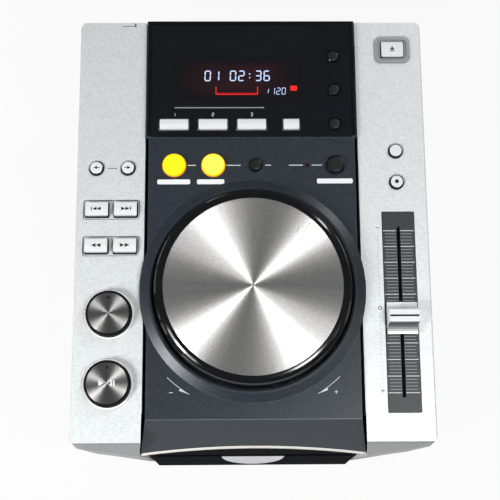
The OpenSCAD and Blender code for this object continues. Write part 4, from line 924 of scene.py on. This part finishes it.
class PLAYER_OT_transport_faces(bpy.types.Operator):
    """Add the turned faces and marks of the two large buttons"""

    bl_idname = "player.transport_faces"
    bl_label = "Transport faces"

    def execute(self, context):
        thick = TRANSPORT_FACE_THICK
        face = [(0, 0), (12.35, 0), (12.35, thick / 2), (12.15, thick), (0, thick)]
        lamp = [(0, 0), (0.75, 0), (0.75, 0.1), (0.5, 0.14), (0, 0.16)]
        for name, (u, v), body in (("cue", CUE, "cue_key"), ("play", PLAY, "play_key")):
            lathe_piece(name + "_face", face, deck_matrix(u, v, TRANSPORT_TOP - thick), name + "_face", body,
                        steps=96)
            lamp_v = v + TRANSPORT_LAMP
            lathe_piece(name + "_lamp", lamp, deck_matrix(u, lamp_v, TRANSPORT_TOP - 0.02), "lamp_lens", body,
                        steps=20)
            flat_piece(name + "_lamp_rim", ring_outlines(u, lamp_v, 0.75, 1.05, steps=20), TRANSPORT_TOP - 0.01,
                       "black_print", body, thick=0.06)
        u, v = PLAY
        marks = [pointer(u - 3.4, v, 3.2, 3.4), *stroke([(u - 1.3, v - 1.9), (u + 1.3, v + 1.9)], 0.4),
                 box_outline(u + 2.6, v, 0.8, 3.3), box_outline(u + 4.2, v, 0.8, 3.3)]
        flat_piece("play_marks", marks, TRANSPORT_TOP, "white_print", "play_key")
        return {"FINISHED"}


class PLAYER_OT_key_surrounds(bpy.types.Operator):
    """Add the round keys' caps, the domed faces of the dark keys, and strips of painted shade in the gaps round the
    keys and along their pockets' edges
    """

    bl_idname = "player.key_surrounds"
    bl_label = "Key surrounds"

    def execute(self, context):
        gaps, edges = [], []
        for v in (SEARCH_V, TRACK_V):
            edges += edge_outlines(-WING_U, v, 34.8, 12.5, 1.6, 0.4)
            for side in (-1, 1):
                gaps += edge_outlines(-WING_U + side * SEARCH_U, v, 15.3, 10.3, 1.2, 0.42)
        # Painted shade: dark strips on the pocket floor along its edge and in the gap round each key.
        flat_piece("pocket_edges", edges, POCKET_FLOOR, "edge_grey", "housing", thick=0.06)
        flat_piece("pocket_gaps", gaps, POCKET_FLOOR, "gap_black", "housing", thick=0.03)
        cap = [(0, -2.4), (3.85, -2.4), (3.85, 1.35), (3.72, 1.68), (3.4, 1.84), (0, 1.95)]
        for name, (u, v) in (
                ("folder_back", (-WING_U - FOLDER_U, FOLDER_V)), ("folder_next", (-WING_U + FOLDER_U, FOLDER_V)),
                ("tempo_range", RANGE), ("master_tempo", MASTER)):
            piece = lathe_piece(name + "_cap", cap, deck_matrix(u, v), "silver_key", name + "_key",
                                steps=48)
            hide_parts(name + "_button")
        for name, (u, v), radius, top in (
                ("reloop", (2.2, LOOP_V), 4.3, 4.4),
                ("beat_loop", (52.0, LOOP_V), 6.1, 4.8),
                ("text_mode", (MODE_U, DECK_REAR - 24.2), 3.9, 3.4),
                ("time_mode", (MODE_U, DECK_REAR - 46.9), 3.9, 3.4),
                ("auto_cue", (MODE_U, BAR_V + 0.2), 3.9, 3.4)):
            r = radius * DOME_SHARE
            dome = [(0, -0.1), (r, -0.1), (r, 0.04), (r * 0.9, 0.14), (r * 0.5, 0.22), (0, 0.25)]
            lathe_piece(name + "_face", dome, deck_matrix(u, v, top), "face_black", name + "_key",
                        steps=40)
        return {"FINISHED"}


# The scratches of a used dial: radius, angle in degrees, length and lean in degrees
SCRATCHES = (
    (47, -50.5, 7, 8), (48, -53, 4.5, -10), (49, -55, 5, 5), (50, -58, 3.6, -14), (46, -52, 3, 20),
    (49.5, -60, 2.6, 6), (44, 47, 9, 3), (42, 51, 4, 12), (51, -62, 2.2, -5), (40, 44, 2, 40),
)


class PLAYER_OT_jog_detail(bpy.types.Operator):
    """Add the dial's centre mark and its scratches"""

    bl_idname = "player.jog_detail"
    bl_label = "Jog dial detail"

    def execute(self, context):
        mark = [(0, 0), (0.55, 0), (0.45, 0.03), (0, 0.03)]
        lathe_piece("jog_centre_mark", mark, deck_matrix(0, JOG_V, PLATE_TOP), "scratch", "jog_wheel",
                    steps=16)
        scratches = []
        for radius, angle, length, lean in SCRATCHES:
            x, y = polar(0, JOG_V, radius, angle)
            dx, dy = polar(0, 0, length, angle + 0.6 + lean)
            scratches += stroke([(x, y), (x + dx * 0.55, y + dy * 0.5), (x + dx, y + dy)], 0.22)
        flat_piece("jog_scratches", scratches, PLATE_TOP, "scratch", "jog_wheel", thick=0.012)
        return {"FINISHED"}


def nose_face_point(u, down, out=0.0):
    """A place on the nose's sloping face: across, down the face from its crease, and out from it."""
    face = deck_matrix(0, NOSE_CREASE, DECK_TOP) @ Matrix.Rotation(NOSE_SLOPE - DECK_TILT, 4, "X")
    return face @ (Vector((u, -down, out)) * MM)


def arch_down(u):
    """How far down the nose's face its arched lip lies, at a place across it."""
    radius = (LIP_HALF ** 2 + LIP_ARCH ** 2) / (2 * LIP_ARCH)
    height = (LIP_END + LIP_ARCH - radius + math.sqrt(radius ** 2 - u ** 2)) * MM
    return (nose_face_point(u, 0.0).z - height) / math.sin(NOSE_SLOPE) / MM


class PLAYER_OT_nose_lip(bpy.types.Operator):
    """Add a bead along the arched lip of the nose, coloured cream as a painted highlight of light thrown up from
    the floor
    """

    bl_idname = "player.nose_lip"
    bl_label = "Nose lip"

    def execute(self, context):
        build = bmesh.new()
        steps, sides, margin = 96, 10, 1.2
        rings = []
        for i in range(steps + 1):
            u = -LIP_HALF + margin + 2 * (LIP_HALF - margin) * i / steps
            bead = round_outline(arch_down(u) - LIP_BEAD * 0.4, 0, LIP_BEAD, sides)
            rings.append([build.verts.new(nose_face_point(u, down, -0.5 + 0.75 * out)) for down, out in bead])
        for low, high in zip(rings, rings[1:]):
            for k in range(sides):
                build.faces.new((low[k], low[(k + 1) % sides], high[(k + 1) % sides], high[k]))
        build.faces.new(rings[0][::-1])
        build.faces.new(rings[-1])
        bmesh.ops.recalc_face_normals(build, faces=build.faces[:])
        for face in build.faces:
            face.smooth = len(face.verts) == 4
        built_piece("nose_lip", build, "lip_edge", "housing")
        return {"FINISHED"}


class PLAYER_OT_display(bpy.types.Operator):
    """Add what shows through the display window"""

    bl_idname = "player.display"
    bl_label = "Display"

    def execute(self, context):
        digits = digit_outlines("01 02:36", -29.4, 93.4, 3.3, 6.4, 5.35, 0.75, lean=0.04)
        digits += digit_outlines("120", 12.5, 84.1, 2.1, 4.3, 3.4, 0.4, lean=0.08)
        digits += stroke([(10.6, 85.0), (11.0, 87.6)], 0.35)
        bracket = stroke([(-22.4, 89.2), (-22.4, 84.1), (4.0, 84.1), (4.0, 89.2)], 0.55)
        bracket += [box_outline(-21.2 + 1.55 * i, 84.9, 0.8, 0.5) for i in range(17)]
        for name, outlines, above, finish_name in (
                ("display_field", [box_outline(*DISPLAY_MIDDLE, *DISPLAY_SIZE)], -0.01, "display_glow"),
                ("display_digits", digits, 0.01, "digit_light"), ("display_bracket", bracket, 0.01, "red_light"),
                ("display_lamp", [soft_box_outline(26.9, 88.2, 4.4, 3.3, 0.8)], 0.01, "red_light")):
            flat_piece(name, outlines, DECK_TOP + above, finish_name, "housing", thick=0.02)
        flat_piece("window_rule", stroke([(-48.5, 75.2), (8.0, 75.2)], 0.7), DECK_TOP, "dim_print", "housing")
        return {"FINISHED"}


class PLAYER_OT_deck_print(bpy.types.Operator):
    """Print the lines, pills, numerals and arrows of the dark deck"""

    bl_idname = "player.deck_print"
    bl_label = "Deck printing"

    def execute(self, context):
        line = context.scene.player_sizes.line / MM
        marks = []
        for a, b in ((-40.0, -35.0), (-16.2, -7.0), (8.2, 12.0), (23.0, 31.6), (37.4, 43.6)):
            marks += stroke([(a, LOOP_V), (b, LOOP_V)], line)
        sweep, sign_u, sign_v = 74.3, 49.2, -103.9
        for side in (-1, 1):
            arc = [(side * x, y) for x, y in (polar(0, JOG_V, sweep, a) for a in range(-46, -60, -1))]
            marks += stroke(arc, line * 0.6)
            (x0, y0), tip = arc[8], arc[-1]
            marks += [[(x0, y0), (x0 + side * 0.75, y0 - 1.3), tip]]
            marks += across_stroke(side * sign_u, sign_v, 1.1, line * 0.8)
        marks += stroke([(sign_u, sign_v - 1.1), (sign_u, sign_v + 1.1)], line * 0.8)
        flat_piece("deck_lines", marks, DECK_TOP, "light_print", "housing")
        pills = [soft_box_outline(u, v, width, 3.1, 0.9) for u, v, width in
                 ((-48.6, 26.5, 20.5), (-25.7, 26.5, 17.0), (51.5, 26.8, 22.3))]
        flat_piece("deck_pills", pills, DECK_TOP, "white_print", "housing", thick=0.2)
        numerals = []
        for text, u in (("1", -48.7), ("2", -24.3), ("3", 0.1)):
            numerals += number_outlines(text, u, BAR_V + 6.6, 2.2)
        flat_piece("bar_numerals", numerals, DECK_TOP, "light_print", "housing")
        # A pale line along the crease: wear, and a painted highlight along the fold.
        flat_piece("crease_wear", across_stroke(0, NOSE_CREASE + 0.1, 64.0, 0.22), DECK_TOP - 0.02, "worn_line",
                   "housing")
        return {"FINISHED"}


def search_icon(u, v, turn):
    """Two arrowheads, of which turn gives the way they point."""
    return [pointer(u + side * 1.5, v, 2.9, 2.4, turn) for side in (-1, 1)]


def track_icon(u, v, turn):
    """Two arrowheads up to a bar."""
    arrows = [pointer(u + side * 1.3, v, 2.5, 2.2, turn) for side in (-1, 1)]
    return [*arrows, box_outline(u + turn * 3.2, v, 0.5, 2.3)]


def folder_icon(u, v, turn):
    """An arrow with a short tail."""
    return [pointer(u + turn * 0.6, v, 2.0, 2.0, turn), box_outline(u - turn * 1.2, v, 1.9, 0.4)]


class PLAYER_OT_wing_print(bpy.types.Operator):
    """Print the marks on the silver wings and their buttons"""

    bl_idname = "player.wing_print"
    bl_label = "Wing printing"

    def execute(self, context):
        line = context.scene.player_sizes.line / MM
        minus, zero, plus = (TEMPO[1] + offset for offset in (51.8, 1.5, -48.8))
        marks = across_stroke(-87.0, FOLDER_V, 3.1, line * 0.8)
        marks += stroke([(-82.6, DECK_REAR - 2.4), (-74.6, DECK_REAR - 2.4)], line * 0.7)
        marks += stroke([(-74.1, DECK_REAR - 2.8), (-74.1, DECK_REAR - 0.4)], line * 1.8)
        for v in (minus, plus):
            marks += across_stroke(TRAVEL_U, v, 1.2, line * 0.8)
        marks += stroke([(TRAVEL_U, plus - 1.2), (TRAVEL_U, plus + 1.2)], line * 0.8)
        marks += ring_outlines(TRAVEL_U, zero, 0.75, 1.2, steps=20)
        flat_piece("wing_lines", marks, 0.0, "dark_print", "housing")
        square, rounded = (SQUARE_KEY_TOP, "silver_key", 0.05), (ROUND_KEY_TOP, "white", None)
        for names, offset, v, icon, (top, slot, thick) in (
                (("search_back", "search_forward"), SEARCH_U, SEARCH_V, search_icon, square),
                (("track_back", "track_next"), SEARCH_U, TRACK_V, track_icon, square),
                (("folder_back", "folder_next"), FOLDER_U, FOLDER_V, folder_icon, rounded)):
            for name, turn in zip(names, (-1, 1)):
                flat_piece(name + "_mark", icon(-WING_U + turn * offset, v, turn), top, "black_print",
                           name + "_key", thick=thick)
        u, v = EJECT
        icon = [[(u - 1.5, v - 0.4), (u + 1.5, v - 0.4), (u, v + 1.7)], box_outline(u, v - 1.2, 3.0, 0.6)]
        flat_piece("eject_mark", icon, EJECT_TOP, "black_print", "eject_key", thick=0.17)
        flat_piece("master_mark", [round_outline(*MASTER, 1.25)], ROUND_KEY_TOP, "black_print",
                   "master_tempo_key")
        return {"FINISHED"}


class PLAYER_OT_tempo_scale(bpy.types.Operator):
    """Add the lines of the tempo slider, the dots beside it and the knob's index"""

    bl_idname = "player.tempo_scale"
    bl_label = "Tempo scale"

    def execute(self, context):
        sizes = context.scene.player_sizes
        count, pitch, dot_pitch = sizes.tick_count, sizes.tick_pitch / MM, sizes.dot_pitch / MM
        u, v = TEMPO
        front, longs = v - (count - 1) * pitch / 2, (count + 4) // 5
        for side, hand in ((-1, "left"), (1, "right")):
            row_of_marks("tempo_ticks_" + hand, "dim_print", count, pitch, TICK_WIDTH, 0.45,
                         deck_matrix(u + side * TICK_U, front, INLAY_TOP))
            row_of_marks("tempo_marks_" + hand, "light_print", longs, pitch * 5, LONG_TICK_WIDTH, 0.5,
                         deck_matrix(u + side * LONG_TICK_U, front, INLAY_TOP + 0.015))
        dots = int(TRAVEL_DOTS * MM / sizes.dot_pitch)
        for name, offset in (("travel_dots_rear", 3.9), ("travel_dots_front", -1.8 - (dots - 1) * dot_pitch)):
            row_of_marks(name, "dark_print", dots, dot_pitch, 0.45, 0.4, deck_matrix(TRAVEL_U, v + offset),
                         rounded=True)
        flat_piece("knob_index", [box_outline(u, KNOB_V, 17.4, 1.1)], KNOB_TOP, "gap_black", "tempo_slider")
        return {"FINISHED"}


class PLAYER_OT_rear_detail(bpy.types.Operator):
    """Add the jacks' coloured inserts and the marks on the power button"""

    bl_idname = "player.rear_detail"
    bl_label = "Rear detail"

    def execute(self, context):
        collar = [(4.3, 0.02), (5.3, 0.02), (5.3, 0.5), (5.0, 0.8), (4.3, 0.8)]
        for x, colour in JACKS:
            lathe_piece("jack_collar_" + colour, collar, rear_matrix(x, JACK_OUT), "jack_" + colour, "housing",
                        steps=40)
        sign = ring_outlines(0, 0, 1.3, 1.75, 125, 415, steps=28) + [box_outline(0, -1.3, 0.4, 1.8)]
        flat_piece("power_mark", sign, 0.0, "white_print", "power_key",
                   matrix=rear_matrix(POWER_X, POWER_OUT))
        return {"FINISHED"}


class PLAYER_OT_stage(bpy.types.Operator):
    """Add the pale floor, the lights, the world and the camera"""

    bl_idname = "player.stage"
    bl_label = "Stage"

    def execute(self, context):
        scene = bpy.context.scene
        mesh = bpy.data.meshes.new("floor")
        side = scene.player_sizes.floor
        mesh.from_pydata([(x, y, 0) for x, y in box_outline(0, 0, side, side)], [], [(0, 1, 2, 3)])
        floor = bpy.data.objects.new("floor", mesh)
        scene.collection.objects.link(floor)
        mesh.materials.append(floor_paint())

        scene.world = scene.world or bpy.data.worlds.new("studio")
        scene.world.use_nodes = True
        light_world(scene.world.node_tree)

        for name, start, end, breadth, power in LAMPS:
            start, end = deck_matrix() @ Vector(start), deck_matrix() @ Vector(end)
            lamp = bpy.data.lights.new(name, "AREA")
            lamp.shape, lamp.energy = "RECTANGLE", power
            lamp.size, lamp.size_y = breadth, (end - start).length
            place = (start + end) / 2
            back = (place - deck_point(0, JOG_V, 0)).normalized()
            side = (end - start).cross(back).normalized()
            holder = bpy.data.objects.new(name, lamp)
            scene.collection.objects.link(holder)
            turn = Matrix((side, back.cross(side), back)).transposed().to_4x4()
            holder.matrix_world = Matrix.Translation(place) @ turn

        camera = bpy.data.cameras.new("camera")
        camera.sensor_width, camera.lens, camera.sensor_fit = 36.0, CAMERA_LENS, "HORIZONTAL"
        camera.clip_start, camera.clip_end = 0.01, 30.0
        holder = bpy.data.objects.new("camera", camera)
        scene.collection.objects.link(holder)
        holder.matrix_world = photo_view()
        scene.camera = holder
        scene.view_settings.view_transform = "Standard"
        return {"FINISHED"}


def light_world(tree):
    """A dim even light round the object, and white where the camera looks past the floor."""
    sky = tree.nodes["Background"]
    give(tree, sky.inputs["Color"], linear(236, 240, 244))
    give(tree, sky.inputs["Strength"], SKY_STRENGTH)
    white = add(tree, "Background", Color=(1, 1, 1), Strength=1.0)
    seen = add(tree, "LightPath").outputs["Is Camera Ray"]
    blend = add(tree, "MixShader", seen, sky.outputs[0], white.outputs[0])
    give(tree, tree.nodes["World Output"].inputs[0], blend.outputs[0])


def floor_paint():
    """A white floor that keeps the shadow and stays white to the camera and in reflections."""
    material, tree, _ = new_finish("floor_paint", Base_Color=(0.6, 0.6, 0.6), Roughness=0.9)
    rays = add(tree, "LightPath").outputs
    glow = add(tree, "Emission", Color=(1, 1, 1), Strength=1.0)
    mirrored = calculate(tree, "MAXIMUM", rays["Is Glossy Ray"], rays["Is Transmission Ray"])
    seen = calculate(tree, "MAXIMUM", rays["Is Camera Ray"], mirrored)
    blend = add(tree, "MixShader", calculate(tree, "MULTIPLY", seen, FLOOR_WHITE),
                tree.nodes["Principled BSDF"].outputs[0], glow.outputs[0])
    give(tree, tree.nodes["Material Output"].inputs["Surface"], blend.outputs[0])
    return material


def photo_view():
    """The camera's place, from its place in the deck's frame and its turn about each axis."""
    tilt, yaw, roll = CAMERA_TILT, CAMERA_YAW, CAMERA_ROLL
    right = Vector((1, 0, 0))
    up = Vector((0, math.cos(tilt), math.sin(tilt)))
    back = Vector((0, -math.sin(tilt), math.cos(tilt)))
    right, back = (right * math.cos(yaw) - back * math.sin(yaw), right * math.sin(yaw) + back * math.cos(yaw))
    right, up = (right * math.cos(roll) + up * math.sin(roll), -right * math.sin(roll) + up * math.cos(roll))
    turn = Matrix((right, up, back)).transposed().to_4x4()
    return deck_matrix(*CAMERA_PLACE) @ turn


OPERATORS = (
    PLAYER_OT_finish_nodes,
    PLAYER_OT_transport_faces,
    PLAYER_OT_key_surrounds,
    PLAYER_OT_jog_detail,
    PLAYER_OT_nose_lip,
    PLAYER_OT_display,
    PLAYER_OT_deck_print,
    PLAYER_OT_wing_print,
    PLAYER_OT_tempo_scale,
    PLAYER_OT_rear_detail,
    PLAYER_OT_stage,
)


class PLAYER_PT_panel(bpy.types.Panel):
    """Lists the pieces and their sizes and colours"""

    bl_label = "Tabletop disc player"
    bl_idname = "PLAYER_PT_panel"
    bl_space_type = "VIEW_3D"
    bl_region_type = "UI"
    bl_category = "Player"

    def draw(self, context):
        column = self.layout.column(align=True)
        for operator in OPERATORS:
            column.operator(operator.bl_idname)
        for group in (context.scene.player_sizes, context.scene.player_colours):
            box = self.layout.box()
            for name in group.bl_rna.properties.keys():
                if name not in ("rna_type", "name"):
                    box.prop(group, name)


CLASSES = (PlayerColours, PlayerSizes, *OPERATORS, PLAYER_PT_panel)


def register():
    for item in CLASSES:
        bpy.utils.register_class(item)
    bpy.types.Scene.player_colours = PointerProperty(type=PlayerColours)
    bpy.types.Scene.player_sizes = PointerProperty(type=PlayerSizes)


def unregister():
    del bpy.types.Scene.player_sizes
    del bpy.types.Scene.player_colours
    for item in reversed(CLASSES):
        bpy.utils.unregister_class(item)


def main():
    register()
    for operator in OPERATORS:
        group, name = operator.bl_idname.split(".")
        getattr(getattr(bpy.ops, group), name)()


if __name__ == "__main__":
    main()
